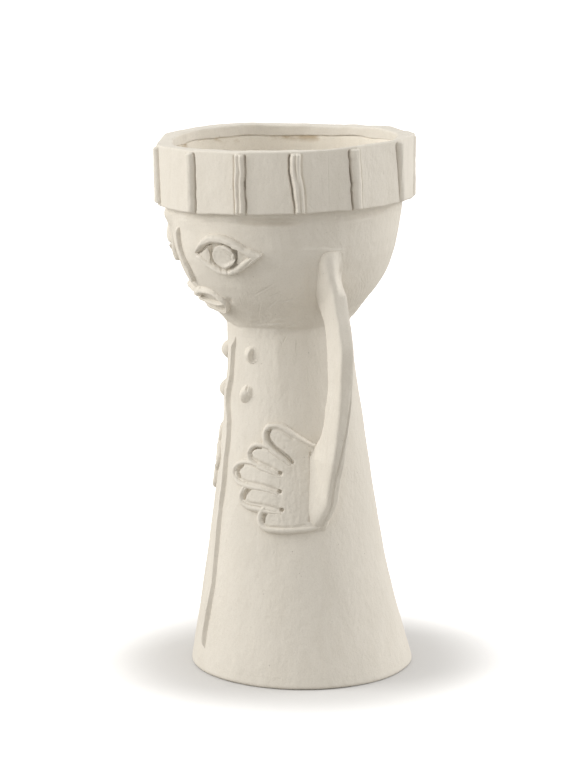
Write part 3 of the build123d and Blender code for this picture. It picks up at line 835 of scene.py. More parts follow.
def build_band():
    n = 2400
    psi = ring_points(n)
    low, top = band_low(psi), band_top(psi)
    rows = []
    # underside, from the head's wall outward
    for k in np.linspace(0, 1, 7)[:-1]:
        r_in = soft_table(OUT, low + 3, 1) - 0.6
        r_out = band_face(psi, low + 2.4) - 1.5
        r = r_in + (r_out - r_in) * k
        s = low + 3.2 * (1 - k) ** 2 * 0.6 + 0.25 * (1 - k)
        sh = band_shift(low) * k + soft_table(OUT, low, 2) * (1 - k)
        rows.append(polar(psi, s, r, sh))
    # lower outer edge, rounded
    for t in np.linspace(0, math.pi / 2, 7)[:-1]:
        r0 = band_face(psi, low + 1.9)
        s = low + 1.5 * (1 - math.cos(t))
        rows.append(polar(psi, s, r0 - 1.5 * (1 - math.sin(t)), band_shift(s)))
    # outer face
    for k in np.linspace(0, 1, 64):
        s = (low + 1.5) + (top - 1.3 - low - 1.5) * k
        rows.append(polar(psi, s, band_face(psi, s), band_shift(s)))
    # upper outer edge, rounded, top face, upper inner edge
    p = polar(psi, 0 * psi, 95 + 0 * psi, 0 * psi)
    slope = round_table(LIP_SLOPE, psi)
    r_in = 83.1 + 0.45 * noise(p, 30, 101) + 0.2 * noise(p, 10, 102)
    for t in np.linspace(0, math.pi / 2, 8)[1:]:
        s = top - 1.3 + 1.3 * math.sin(t)
        rows.append(polar(psi, s, band_face(psi, top - 1.3) - 1.3 * (1 - math.cos(t)), band_shift(s)))
    for k in np.linspace(0, 1, 8)[1:-1]:
        r0 = band_face(psi, top - 1.3) - 1.3
        r1 = r_in + 1.6
        q = polar(psi, 0 * psi, r0 + (r1 - r0) * k, 0 * psi)
        s = top - slope * k + 0.16 * noise(q, 7, 103) * math.sin(math.pi * k)
        rows.append(polar(psi, s, r0 + (r1 - r0) * k, band_shift(s)))
    for t in np.linspace(0, math.pi / 2, 7):
        s = top - slope - 1.6 * (1 - math.cos(t))
        rows.append(polar(psi, s, r_in + 1.6 * (1 - math.sin(t)), band_shift(s)))
    # inner face down to the turned edge
    edge = turned_edge(psi)
    for k in np.linspace(0, 1, 9)[1:]:
        s = (top - slope - 1.6) + (edge + 0.7 - top + slope + 1.6) * k
        q = polar(psi, s, 83 + 0 * psi, 0 * psi)
        rows.append(polar(psi, s, r_in + 0.15 * noise(q, 6, 106), band_shift(s)))
    for t in np.linspace(0, math.pi / 2, 5)[1:]:
        rows.append(polar(psi, edge + 0.7 * (1 - math.sin(t)), r_in + 0.7 * (1 - math.cos(t)), band_shift(edge)))
    rows.append(polar(psi, edge + 0.1, 85.2 + 0 * psi, band_shift(edge)))
    rows.append(polar(psi, edge + 0.2, 88.0 + 0 * psi, band_shift(edge)))
    P = to_row(np.array(rows))
    m, n = P.shape[0], P.shape[1]
    faces = grid_faces(m, n, wrap=True)
    a = np.arange(n)
    b = (a + 1) % n
    close = np.stack([(m - 1) * n + a, (m - 1) * n + b, b, a], 1)
    ob = make_object("rim_band_ring", P.reshape(-1, 3), np.concatenate([faces, close]), CLAY_BAND)
    settle(ob, "rim_band")


build_band()


def band_smooth_skin(psi, s):
    """The band's face without the hollows, to lay the ribs on."""
    r = band_radius(psi, s)
    p = polar(psi, s, r, 0 * s)
    r = r + 0.38 * fbm(p, (26, 26, 22), 2, 91) + 0.12 * fbm(p, (8, 8, 9), 2, 93)
    return polar(psi, s, r, band_shift(s))


def build_rib(i):
    mid = RIB_PSI[i]
    psi = np.linspace(mid - 5.2, mid + 5.2, 120)
    s = np.linspace(354.2, TOP_S - 1.2, 200)

    def height(P, PS, S, N):
        u = rib_lateral(PS, S, i)
        w = rib_half(i, S)
        q = np.stack([S, S * 0 + i * 5.0, S * 0], -1)
        t = np.clip(np.abs(u) / w, 0, 1)
        tall = (1.1 if i == 6 else 2.5) + 0.25 * noise(q, 13, 63)
        h = -1.6 + (tall + 1.6) * (1 - t ** 2.3) ** 0.62
        if i in (2, 3, 8):
            # two rolls side by side
            mid_u = 0.3 * noise(q, 9, 64)
            h = h + 0.45 * np.exp(-((u - mid_u - 2.1) / 0.9) ** 2) + 0.35 * np.exp(-((u - mid_u + 2.1) / 0.9) ** 2)
            h = h - (1.25 + 0.3 * noise(q, 5, 65)) * np.exp(-((u - mid_u) / 0.62) ** 2)
        else:
            h = h - (0.10 + 0.15 * noise(q, 8, 66)) * np.exp(-((u - 1.2 * noise(q, 12, 67)) / 0.7) ** 2)
        h = h + 0.16 * fbm(P, (3.4, 3.4, 6.0), 2, 68) + 0.04 * noise(P, 1.3, 69)
        low = band_low(PS) + (1.6 if i == 0 else 0.5) + 0.4 * noise(q * 0 + i * 3.1, 2.0, 70)
        high = band_top(PS) - 0.9 - 0.5 * (1 + noise(q * 0 + i * 5.3, 2.0, 71))
        edge = np.minimum(S - low, (high - S) * 0.8)
        h = np.where(edge > 0, -1.6 + (h + 1.6) * np.sqrt(np.clip(1 - (1 - np.clip(edge / 1.7, 0, 1)) ** 2, 0, 1)), -2.6)
        return np.where(t < 1, h, -2.6)

    relief("rib_%02d" % (i + 1), "rim_rib_%02d" % (i + 1), CLAY_BAND, psi, s, height,
           base=band_smooth_skin, sink=2.6, back=1.0)


for i in range(12):
    build_rib(i)


# =====================================================================
# Shapes of clay laid on the skin
# =====================================================================
def pad(d, h, r=1.2, sink=1.0):
    """Plate: d is the distance inside its outline, r the softness of its edge."""
    t = np.clip(d / r, 0, 1)
    v = -sink + (h + sink) * np.sqrt(np.clip(1 - (1 - t) ** 2, 0, 1))
    return np.where(d > 0, v, -sink)


def coil(d, w, h, sink=1.0, power=0.5):
    """Rolled coil: d is the distance from its middle line."""
    t = np.clip(d / w, 0, 1)
    v = -sink + (h + sink) * (1 - t * t) ** power
    return np.where(d < w, v, -sink)


def dent(d, w, depth):
    return -depth * np.exp(-(d / w) ** 2)


def smax(a, b, k):
    """Larger of two heights, blended over k."""
    h = np.clip(0.5 + 0.5 * (a - b) / k, 0, 1)
    return b + (a - b) * h + k * h * (1 - h)


def inside(PS, S, poly):
    x, y = PS.ravel(), S.ravel()
    q = np.asarray(poly)
    ok = np.zeros(x.shape, bool)
    j = len(q) - 1
    for i in range(len(q)):
        xi, yi, xj, yj = q[i][0], q[i][1], q[j][0], q[j][1]
        if yi != yj:
            cross = ((yi > y) != (yj > y)) & (x < (xj - xi) * (y - yi) / (yj - yi) + xi)
            ok ^= cross
        j = i
    return ok.reshape(PS.shape)


def shape_of(poly, n=6):
    """Closed outline made soft at its corners."""
    q = [tuple(p) for p in poly]
    c = curve([q[-1]] + q + [q[0], q[1]], n)
    return c[n:-n]


def depth_in(P, PS, S, outline, base=skin):
    """Distance inside (positive) or outside of a closed outline of (psi, s)."""
    q = np.asarray(outline)
    loop = np.concatenate([q, q[:1]])
    d = near(P, base(loop[:, 0], loop[:, 1]))[0]
    return np.where(inside(PS, S, q), d, -d)


def along(P, path, base=skin, n=8, widths=None):
    """Distance from a path of (psi, s), how far along it, and the path's own
    width and height there if given."""
    q = curve(path, n)
    d, t, vec, tan = near(P, base(q[:, 0], q[:, 1]))
    if widths is None:
        return d, t, vec
    k = np.linspace(0, 1, len(widths))
    vals = [np.interp(t, k, [w[i] for w in widths]) for i in range(len(widths[0]))]
    return d, t, vec, vals


# =====================================================================
# The eyes
# =====================================================================
EYE = dict(scale=14.0, origin=(180.0, 222.0))


def traced(parts, **kw):
    """Outline traced in stretches, each at its own height over the skin."""
    out = []
    for off, pts in parts:
        out += trace(pts, off, **kw)
    return out


LID_UPPER = traced([
    (2.5, [(205, 385), (222, 340), (250, 295), (290, 245), (340, 200), (400, 175), (470, 170), (560, 180), (650, 205),
           (740, 245), (800, 285), (850, 315), (900, 355), (960, 372), (1010, 388), (1080, 425), (1150, 458)]),
    (1.5, [(1090, 500), (1010, 510), (955, 500), (925, 470), (870, 435), (790, 390), (700, 345), (620, 312), (560, 298), (500, 292),
           (440, 298), (400, 312), (345, 345), (290, 395), (250, 430), (222, 435)])], **EYE)
LID_GROOVE = trace([(820, 318), (870, 352), (930, 392), (985, 412), (1040, 430)], 3.6, **EYE)
LID_LOWER = traced([
    (0.5, [(250, 450), (330, 540), (440, 630), (540, 690), (640, 725), (740, 730), (850, 695), (950, 630), (1050, 560),
           (1140, 490)]),
    (3.5, [(1150, 455), (1080, 436), (1010, 436), (965, 452), (940, 482), (870, 530), (780, 600), (690, 640), (665, 660),
           (620, 652), (560, 640), (500, 610), (440, 580), (400, 560), (340, 510), (262, 445)])], **EYE)
LOWER_GROOVE = trace([(850, 650), (900, 615), (950, 572), (1000, 530)], 3.6, **EYE)
WEDGE_IN = trace([(262, 442), (300, 410), (345, 368), (366, 336), (392, 316), (418, 336), (412, 430), (436, 520),
                  (480, 596), (430, 600), (360, 548)], 2.4, **EYE)
WEDGE_RIDGE = trace([(384, 314), (384, 372), (387, 430), (398, 500), (424, 560)], 3.2, **EYE)
WEDGE_OUT = trace([(796, 372), (850, 408), (944, 462), (950, 500), (880, 566), (816, 606), (798, 570), (806, 500),
                   (804, 430)], 2.2, **EYE)
IRIS_MID = (38.7, 326.0)


def turned(points, side):
    return [(p[0] * side, p[1]) for p in points]


def eye(side, name):
    psi = side * np.linspace(15.0, 66.0, 250)
    if side < 0:
        psi = psi[::-1]
    s = np.linspace(303.0, 347.0, 150)

    def upper(P, PS, S, N):
        d = depth_in(P, PS, S, shape_of(turned(LID_UPPER, side), 3))
        d = d + 0.16 * noise(P, 2.4, 201) * smoothstep(58.0 - 16.0, 58.0 - 8.0, side * PS) + 0.10 * noise(P, 6, 202)
        g = along(P, turned(LID_GROOVE, side))[0]
        v = pad(d, 4.8, 2.6) + 0.15 * noise(P, 5, 203) * (d > 0)
        v = v + dent(g, 0.55, 0.6)
        return np.where(d > 0, v + 0.06 * noise(P, 1.5, 204), -1.0)

    def lower(P, PS, S, N):
        d = depth_in(P, PS, S, shape_of(turned(LID_LOWER, side), 3))
        d = d + 0.10 * noise(P, 4, 205)
        g = along(P, turned(LOWER_GROOVE, side))[0]
        v = pad(d, 4.8, 2.5) + 0.15 * noise(P, 5, 206)
        v = v + dent(g, 0.6, 0.7)
        return np.where(d > 0, v + 0.06 * noise(P, 1.5, 207), -1.0)

    def iris(P, PS, S, N):
        r = np.interp(IRIS_MID[1], OUT[:, 0], OUT[:, 1])
        du = np.radians(side * PS - IRIS_MID[0]) * r
        dv = S - IRIS_MID[1]
        q = np.sqrt((du / 9.2) ** 2 + (dv / 8.6) ** 2)
        q = q * (1 + 0.02 * noise(P, 5, 208))
        d = (1 - q) * 8.8
        v = pad(d, 4.4, 0.9)
        turn = np.clip((du * 0.9 - dv * 0.2) / 8.0 + 0.1, 0, 1)
        v = v + (1.2 * np.exp(-((d - 1.7) / 1.15) ** 2)) * np.clip(turn * 1.5, 0, 1) * (d > 0)
        v = v - 0.35 * smoothstep(1.4, 4.2, d) + 0.12 * noise(P, 2.6, 209) * (d > 1)
        return v

    def inner(P, PS, S, N):
        d = depth_in(P, PS, S, shape_of(turned(WEDGE_IN, side), 4))
        v = pad(d, 2.3, 0.7) + 0.08 * noise(P, 3, 210)
        g, t, _ = along(P, turned(WEDGE_RIDGE, side))
        v = np.where(d > 0, smax(v, coil(g, 1.45, 3.9, power=0.6), 0.5), -1.0)
        return v

    def outer(P, PS, S, N):
        d = depth_in(P, PS, S, shape_of(turned(WEDGE_OUT, side), 4))
        return np.where(d > 0, pad(d, 2.6, 0.6) + 0.08 * noise(P, 3, 211), -1.0)

    for part, fn in (("upper_lid", upper), ("lower_lid", lower), ("iris", iris), ("inner_wedge", inner),
                     ("outer_wedge", outer)):
        relief("%s_%s" % (name, part), "%s_%s" % (name, part), CLAY_TRIM, psi, s, fn)


eye(1, "left_eye")
eye(-1, "right_eye")


# =====================================================================
# Nose and mouth
# =====================================================================
# right-hand wall of the nose's near strip: height, angle
NOSE_WALL = [(302.0, 7.0), (305.5, 8.3), (311.4, 8.4), (316.9, 7.2), (321.3, 5.5), (327.7, 4.4), (335.3, 4.6), (342.0, 5.2)]
NOSE_FAR = [(-13.0, 342.0), (-13.6, 334.0), (-14.2, 327.0), (-14.4, 320.0), (-14.2, 316.0)]
NOSE_FAR_SIZE = [(2.4, 0.3), (3.0, 0.9), (3.1, 1.5), (3.2, 3.0), (2.9, 3.3)]
NOSE_TIP = [(-5.0, 291.0), (-1.0, 291.8), (4.0, 293.6), (8.5, 296.0)]
NOSE_TIP_SIZE = [(3.0, 3.8), (3.8, 4.2), (3.9, 3.9), (2.7, 3.0)]


def nose():
    psi = np.linspace(-21, 16, 230)
    s = np.linspace(288, 346, 230)

    def height(P, PS, S, N):
        wall = np.interp(S, [q[0] for q in NOSE_WALL], [q[1] for q in NOSE_WALL])
        r = np.interp(S, OUT[:, 0], OUT[:, 1])
        u = np.radians(wall - PS) * r + 0.14 * noise(P, 6, 221)
        crest = 3.1 + 0.25 * noise(P, 9, 225)
        crest = crest - (crest - 0.5) * smoothstep(2.0, 7.0, u)
        v = pad(u, crest, 1.0)
        v = np.where(u > 8.0, v - 1.7 * smoothstep(8.0, 22.0, u), v)
        ends = np.clip(np.minimum((S - 301.6) / 1.2, (342.5 - S) / 4.5), 0, 1)
        v = -1.0 + (v + 1.0) * np.sqrt(1 - (1 - ends) ** 2)
        for path, size, pw in ((NOSE_FAR, NOSE_FAR_SIZE, 0.5), (NOSE_TIP, NOSE_TIP_SIZE, 0.7)):
            g, t, _, (w, h) = along(P, path, widths=size)
            w = w * (1 + 0.05 * noise(P, 6, 223))
            c = coil(g, w, h, power=pw)
            v = np.where(c > -0.999, smax(v, c, 0.5), v)
        # a small pressed mark under the tip
        v = v - 1.5 * np.exp(-(((PS + 1.5) / 1.5) ** 2 + ((S - 292.6) / 0.8) ** 2))
        return np.where(v > -0.9, v + 0.08 * noise(P, 4, 222) + 0.05 * noise(P, 1.6, 224), -1.0)

    relief("nose_piece", "nose_ridge", CLAY_TRIM, psi, s, height)


nose()

LIP_TOP = [(0.0, 293.4), (5.0, 294.4), (10.0, 295.4), (15.0, 295.8), (19.5, 295.0), (22.8, 293.0), (25.4, 291.0)]
LIP_TOP_SIZE = [(1.6, 3.4), (2.4, 3.5), (2.8, 3.4), (2.8, 3.5), (2.4, 3.3), (1.8, 3.0), (1.4, 2.8)]
LIP_MID = [(0.0, 287.2), (5.0, 286.7), (10.0, 286.3), (15.0, 286.2), (20.0, 286.4), (25.0, 287.4)]
LIP_MID_SIZE = [(1.8, 3.2), (1.8, 3.2), (1.7, 3.1), (1.7, 3.1), (1.6, 3.1), (1.4, 3.0)]
LIP_LOW = [(0.0, 279.4), (6.0, 279.3), (12.0, 279.2), (16.5, 279.4), (20.0, 280.4)]
LIP_LOW_SIZE = [(2.7, 2.2), (2.7, 2.3), (2.5, 2.5), (2.2, 2.7), (1.8, 2.8)]
LIP_CORNER = [(23.6, 292.2), (26.4, 289.6), (26.8, 286.0), (24.6, 282.6), (21.0, 280.2), (17.5, 279.2)]


def both(points, sizes):
    left = [(-p[0], p[1]) for p in points[:0:-1]]
    return left + points, sizes[:0:-1] + sizes


def mouth():
    psi = np.linspace(-34, 34, 260)
    s = np.linspace(264, 302, 150)
    top, top_size = both(LIP_TOP, LIP_TOP_SIZE)
    mid, mid_size = both(LIP_MID, LIP_MID_SIZE)
    low, low_size = both(LIP_LOW, LIP_LOW_SIZE)

    def upper(P, PS, S, N):
        d, t, _, (w, h) = along(P, top, widths=top_size)
        v = coil(d, w * (1 + 0.05 * noise(P, 5, 231)), h, power=0.55) + 0.15 * noise(P, 5, 232)
        return np.where(d < w, v, -1.0)

    def middle(P, PS, S, N):
        d, t, _, (w, h) = along(P, mid, widths=mid_size)
        v = coil(d, w, h, power=0.5) + 0.10 * noise(P, 4, 233)
        return np.where(d < w, v, -1.0)

    def lower(P, PS, S, N):
        d, t, _, (w, h) = along(P, low, widths=low_size)
        v = coil(d, w * (1 + 0.05 * noise(P, 6, 234)), h, power=0.6)
        for sg in (1, -1):
            c = coil(along(P, turned(LIP_CORNER, sg))[0], 1.7, 3.4)
            v = np.where(c > -0.999, smax(v, c, 0.5), v)
        v = np.where(v > -0.999, v + 0.15 * noise(P, 5, 235), v)
        return v

    relief("upper_lip_roll", "upper_lip", CLAY_TRIM, psi, s, upper)
    relief("mouth_roll", "mouth_line", CLAY_TRIM, psi, s, middle)
    relief("lower_lip_roll", "lower_lip", CLAY_TRIM, psi, s, lower)


mouth()


# =====================================================================
# Placket ridge and its pellets
# =====================================================================
PLACKET_EDGE = [(12.6, 259.6), (13.2, 254.5), (10.6, 246.0), (9.6, 239.0), (8.6, 230.0), (6.6, 221.5), (4.4, 212.0), (4.9, 204.5),
                (8.2, 195.5), (9.7, 185.5), (10.0, 175.5), (9.4, 165.0), (9.9, 153.0), (9.7, 142.0), (9.1, 129.0),
                (9.1, 110.0), (9.4, 91.0), (10.3, 72.5), (9.4, 58.5), (8.1, 48.0), (6.9, 36.0), (6.9, 27.0), (7.2, 19.5)]


def placket_far():
    """The far edge keeps 8 to 9 mm away and runs out at both ends."""
    out = []
    for a, h in PLACKET_EDGE[::-1]:
        r = float(np.interp(h, OUT[:, 0], OUT[:, 1]))
        wide = 8.6 * min(1.0, 0.15 + (h - 19.0) / 14.0, 0.12 + (261.0 - h) / 22.0)
        out.append((a - math.degrees(wide / r), h))
    return out


PLACKET_FAR = placket_far()


def placket():
    psi = np.linspace(-9, 16, 150)
    s = np.linspace(16.0, 263, 680)

    def height(P, PS, S, N):
        d = depth_in(P, PS, S, curve(PLACKET_EDGE + PLACKET_FAR, 4))
        d = d + 0.18 * noise(P, (9, 9, 14), 241)
        h = 3.0 + 0.30 * noise(P, 24, 242) + 0.15 * noise(P, 8, 243)
        h = h * (0.45 + 0.55 * smoothstep(262, 250, S)) * (0.55 + 0.45 * smoothstep(18, 30, S))
        foot = -1.0 + (h + 1.0) * np.clip((d + 0.45) / 2.7, 0, 1.4) ** 1.8
        v = -smax(-foot, -h, 0.5)
        v = v + 0.25 * np.exp(-((d - 1.9) / 0.8) ** 2) * (1 + 0.5 * noise(P, 14, 244))
        return np.where(d > -0.4, v + 0.14 * fbm(P, (3, 3, 9), 2, 245), -1.0)

    relief("placket_strip", "placket_ridge", CLAY_TRIM, psi, s, height)


placket()


def button(name, node, psi0, s0, rx, ry, h, kind):
    psi = np.linspace(psi0 - 12, psi0 + 12, 120)
    s = np.linspace(s0 - 11, s0 + 11, 120)
    r = np.interp(s0, OUT[:, 0], OUT[:, 1])

    def height(P, PS, S, N):
        du = np.radians(PS - psi0) * r
        dv = S - s0
        ragged = smoothstep(-1.0, 3.5, du) if kind != "round" else 0.25
        q = np.sqrt((du / rx) ** 2 + (dv / ry) ** 2)
        q = q * (1 + 0.03 * noise(P, 5, 251) + ragged * (0.10 * noise(P, 2.6, 252) + 0.05 * noise(P, 1.1, 256)))
        v = -1.0 + (h + 1.0) * np.clip(1 - q * q, 0, 1) ** (0.75 if kind == "round" else 1.05 + 0.12 * smoothstep(0.5, -5.0, du))
        if kind == "pressed":
            # a dome pushed in from its far side, which is left rough
            side = smoothstep(-0.4, 2.2, du - 0.12 * dv)
            rough = 1.0 + 0.35 * noise(P, 2.6, 253) + 0.14 * noise(P, 1.2, 254) - 0.20 * du
            v = v * (1 - side) + np.minimum(v, rough) * side
            v = v - 2.4 * np.exp(-((du - 1.9 - 0.10 * dv) / 1.6) ** 2 - ((dv + 0.2) / 3.3) ** 2)
        if kind == "heart":
            v = v - 1.8 * np.exp(-((du - 0.6 + 0.4 * (dv - 5.5)) / 0.6) ** 2 - ((dv - 5.8) / 1.8) ** 2)
            v = v - 1.5 * np.exp(-((du - 2.0) / 2.8) ** 2 - ((dv + 2.2) / 3.2) ** 2)
            v = v + 0.8 * smoothstep(0.0, -4.0, 0.8 * du - 0.5 * dv) - 3.0 * smoothstep(-2.2, 4.6, 0.85 * du - 0.5 * dv)
            v = v + 0.35 * smoothstep(1.0, 4.0, du) * noise(P, 1.5, 257)
        v = v + 0.10 * noise(P, 2.4, 258) + 0.05 * noise(P, 1.1, 255)
        return np.where(q < 1, v, -1.0)

    relief(name, node, CLAY_TRIM, psi, s, height)


button("pellet_left_upper", "button_left_upper", 32.6, 245.4, 8.3, 7.2, 4.3, "pressed")
button("pellet_left_lower", "button_left_lower", 28.4, 214.8, 9.0, 8.2, 4.9, "heart")
button("pellet_right_upper", "button_right_upper", -19.5, 243.5, 6.4, 7.2, 4.8, "round")
button("pellet_right_lower", "button_right_lower", -15.5, 214.5, 6.4, 7.6, 5.1, "round")


# =====================================================================
# The hands
# =====================================================================
HAND = dict(scale=9.0, origin=(222.0, 412.0))
COILS = [
    # wrist, over the thumb and down to its crotch
    (trace([(850, 322), (790, 300), (720, 262), (640, 215), (560, 162), (490, 132), (425, 135), (388, 175),
            (376, 232), (398, 296), (450, 356), (514, 402), (568, 444), (610, 484)], 4.0, **HAND),
     [(1.9, 4.2), (2.1, 4.4), (2.5, 4.6), (2.7, 4.8), (2.8, 4.8), (2.8, 4.9), (2.8, 4.9), (2.8, 4.9), (2.9, 4.8),
      (3.1, 4.7), (3.3, 4.7), (3.2, 4.6), (2.9, 4.4), (2.2, 4.0)]),
    # second finger
    (trace([(430, 340), (360, 312), (295, 305), (248, 332), (228, 382), (242, 444), (312, 498), (404, 538),
            (480, 572), (518, 594)], 4.0, **HAND),
     [(2.3, 4.5), (2.3, 4.4), (2.5, 4.3), (2.6, 4.3), (2.6, 4.4), (2.7, 4.5), (2.9, 4.6), (2.8, 4.6), (2.4, 4.4),
      (1.9, 4.1)]),
    # third finger
    (trace([(330, 492), (250, 466), (180, 460), (124, 484), (96, 535), (108, 596), (166, 654), (264, 682),
            (364, 704), (446, 730), (500, 756)], 4.0, **HAND),
     [(2.3, 4.4), (2.5, 4.4), (2.5, 4.5), (2.5, 4.6), (2.5, 4.7), (2.7, 4.7), (3.0, 4.7), (2.9, 4.6), (2.7, 4.5),
      (2.4, 4.3), (1.9, 4.0)]),
    # fourth finger
    (trace([(215, 652), (178, 706), (158, 762), (172, 824), (236, 866), (316, 884), (396, 904), (468, 916),
            (522, 920)], 4.0, **HAND),
     [(2.0, 4.4), (2.2, 4.5), (2.5, 4.6), (2.7, 4.7), (2.9, 4.7), (2.8, 4.6), (2.6, 4.4), (2.2, 4.2), (1.8, 4.0)]),
    # little finger and the heel of the hand, into the arm
    (trace([(372, 872), (338, 920), (330, 975), (350, 1030), (400, 1062), (480, 1072), (600, 1074), (710, 1066),
            (798, 1056), (876, 1034), (930, 1000)], 4.0, **HAND),
     [(2.3, 4.5), (2.6, 4.7), (2.8, 4.8), (3.1, 4.8), (3.3, 4.8), (3.3, 4.8), (3.2, 4.8), (3.1, 4.8), (3.0, 4.9),
      (2.9, 5.0), (2.6, 5.0)]),
]
HAND_FILL = trace([(850, 322), (790, 300), (720, 262), (640, 215), (560, 162), (490, 132), (425, 135), (388, 175), (386, 230),
                   (412, 285), (430, 318), (360, 312), (295, 305), (248, 332), (228, 382), (248, 438), (300, 472),
                   (250, 466), (180, 460), (124, 484), (96, 535), (108, 592), (170, 640), (215, 655), (178, 706),
                   (158, 762), (176, 820), (240, 852), (320, 866), (368, 876), (338, 920), (330, 975), (350, 1030),
                   (400, 1062), (480, 1072), (600, 1074), (710, 1068), (798, 1058), (856, 1034), (884, 980),
                   (884, 800), (884, 600), (882, 440)], 4.0, **HAND)
# gaps left between the rolls and the clay inside them: path, half-width
SLOTS = [(trace(q, 4.0, **HAND), w) for q, w in (
    ([(425, 178), (412, 225), (430, 270), (475, 325), (545, 375), (600, 420), (634, 464)], 1.0),
    ([(262, 410), (258, 370), (290, 338), (345, 334)], 0.6),
    ([(172, 490), (142, 520), (136, 555), (152, 588)], 1.5),
    ([(246, 690), (206, 738), (192, 780)], 1.45),
    ([(385, 915), (366, 955), (362, 992)], 1.7))]
# soft grooves along the lower side of each finger: path, half-width, depth
GROOVES = [(trace(q, 4.0, **HAND), w, h) for q, w, h in (
    ([(405, 190), (413, 250), (452, 306), (516, 361), (580, 413), (628, 460)], 1.15, 3.0),
    ([(240, 390), (258, 425), (300, 450), (361, 478), (451, 522), (524, 566)], 1.45, 2.0),
    ([(116, 545), (140, 588), (194, 631), (336, 664), (451, 697), (520, 730)], 1.35, 1.7),
    ([(178, 765), (200, 806), (258, 831), (361, 850), (451, 869), (534, 896)], 1.35, 1.7),
    ([(352, 985), (372, 1022), (420, 1040), (520, 1046), (640, 1042), (750, 1030)], 0.9, 0.8),
    ([(640, 250), (560, 196), (490, 164), (440, 168)], 1.0, 1.1),
    ([(420, 352), (356, 338), (300, 336), (262, 360)], 0.9, 1.0),
    ([(300, 505), (240, 488), (180, 484), (140, 506)], 0.8, 0.8))]
PITS = trace([(522, 560), (517, 725), (537, 890)], 4.0, **HAND)
WRIST_LINE = trace([(798, 372), (804, 480), (808, 620), (804, 780), (796, 920), (788, 990)], 4.0, **HAND)


def right_hand(points):
    return [(-p[0] + 10.0 * (90.0 - p[0]) / 68.0, p[1] + 3.0) for p in points]


def hand(side, name):
    if side > 0:
        psi = np.linspace(14.0, 92.0, 250)
        same = list
    else:
        psi = np.linspace(-92.0, -3.0, 280)
        same = right_hand
    s = np.linspace(112.0, 196.0, 250)
    fill = same(HAND_FILL)
    coils = [(same(c), z) for c, z in COILS]
    slots = [(same(c), w) for c, w in SLOTS]
    grooves = [(same(c), w, h) for c, w, h in GROOVES]
    low_relief = 1.0 if side > 0 else 0.62

    def rolls(P):
        v = -1.0 + 0 * P[..., 0]
        out = -99.0 + 0 * P[..., 0]
        for k, (path, size) in enumerate(coils):
            d, t, _, (w, h) = along(P, path, widths=size, n=6)
            w = w * (1 + 0.05 * noise(P, 5, 261 + k))
            v = np.maximum(v, coil(d, w, h, power=0.42))
            out = np.maximum(out, w - d)
        return v, out

    def pressed(P, v):
        for path, w, h in grooves:
            g = along(P, path, n=5)[0]
            v = v - h * (0.8 + 0.25 * noise(P, 7, 279)) * np.exp(-(g / w) ** 2)
        return v

    def coil_height(P, PS, S, N):
        v = rolls(P)[0]
        top = pressed(P, v + 0.16 * noise(P, 7, 271) + 0.08 * fbm(P, 2.4, 2, 272)) * low_relief
        return np.where(v > -0.999, np.maximum(top, -0.9), -1.0)

    def palm_height(P, PS, S, N):
        d = depth_in(P, PS, S, fill)
        over = rolls(P)[1]
        edge = np.minimum(np.maximum(d, 0), 2.1 - over) + 0.15 * noise(P, 3, 273)
        h = 3.9 + 0.30 * noise(P, 12, 274) + 0.14 * noise(P, 3, 275) + 0.13 * noise(P, (1.5, 1.5, 9.0), 276) * smoothstep(54.0, 62.0, np.abs(PS)) + 0.10 * noise(P, 1.5, 280)
        v = pressed(P, pad(edge, h, 1.3))
        v = v + dent(along(P, same(WRIST_LINE))[0], 0.7, 1.5)
        for path, w in slots:
            g = along(P, path, n=5)[0]
            v = v - 4.4 * smoothstep(w * 1.3, w * 0.7, g)
        for a0, s0 in same(PITS):
            r = np.interp(s0, OUT[:, 0], OUT[:, 1])
            q = np.hypot(np.radians(PS - a0) * r, S - s0)
            v = v - 3.4 * smoothstep(1.9, 0.8, q)
        return np.where((d > 0) & (edge > 0), np.maximum(v * low_relief, -0.4), -1.0)

    relief(name + "_palm", name + "_hand_slab", CLAY_ARM, psi, s, palm_height)
    relief(name + "_outline_roll", name + "_hand_coil", CLAY_ARM, psi, s, coil_height)


hand(1, "left")
hand(-1, "right")


# =====================================================================
# The arms
# =====================================================================
ARM_OUTER = [(76.0, 326.6), (82.0, 327.2), (86.4, 325.2), (88.8, 318.5), (91.0, 310.0), (92.8, 303.0), (95.5, 293.0),
             (98.5, 283.0), (101.8, 273.0), (104.6, 262.0), (105.2, 253.0), (103.0, 235.0), (99.8, 214.0),
             (95.8, 193.0), (90.4, 172.5), (84.6, 158.0), (79.4, 146.0), (75.0, 135.0), (70.6, 125.0), (62.0, 114.5)]
ARM_INNER = [(62.0, 292.0), (62.6, 285.5), (67.0, 281.0), (72.4, 277.0), (76.0, 271.5), (77.6, 263.5),
             (79.4, 249.0), (78.8, 229.0), (76.0, 212.0), (72.6, 200.0), (65.5, 188.5), (56.0, 180.0),
             (50.0, 166.0)]


# how far the front face reaches forward where it meets the body or the head, by height
FOOT_REACH = np.array([(104, 3.5), (112, 4.2), (119, 5.2), (125, 6.9), (131, 8.0), (140, 8.3), (150, 8.3), (160.7, 8.6),
                       (166, 9.2), (171, 9.4), (177, 7.4), (183, 6.3), (190, 6.3), (275, 6.3), (281, 6.5), (288.6, 7.0), (294, 8.8),
                       (300.6, 10.2), (308, 10.4), (317, 10.4), (326, 9.5), (332, 9.0)])


def resample(points, n):
    q = curve(points, 12)
    seg = np.linalg.norm(np.diff(q, axis=0), axis=1)
    t = np.concatenate([[0], np.cumsum(seg)])
    u = np.linspace(0, t[-1], n)
    return np.stack([np.interp(u, t, q[:, 0]), np.interp(u, t, q[:, 1])], 1)


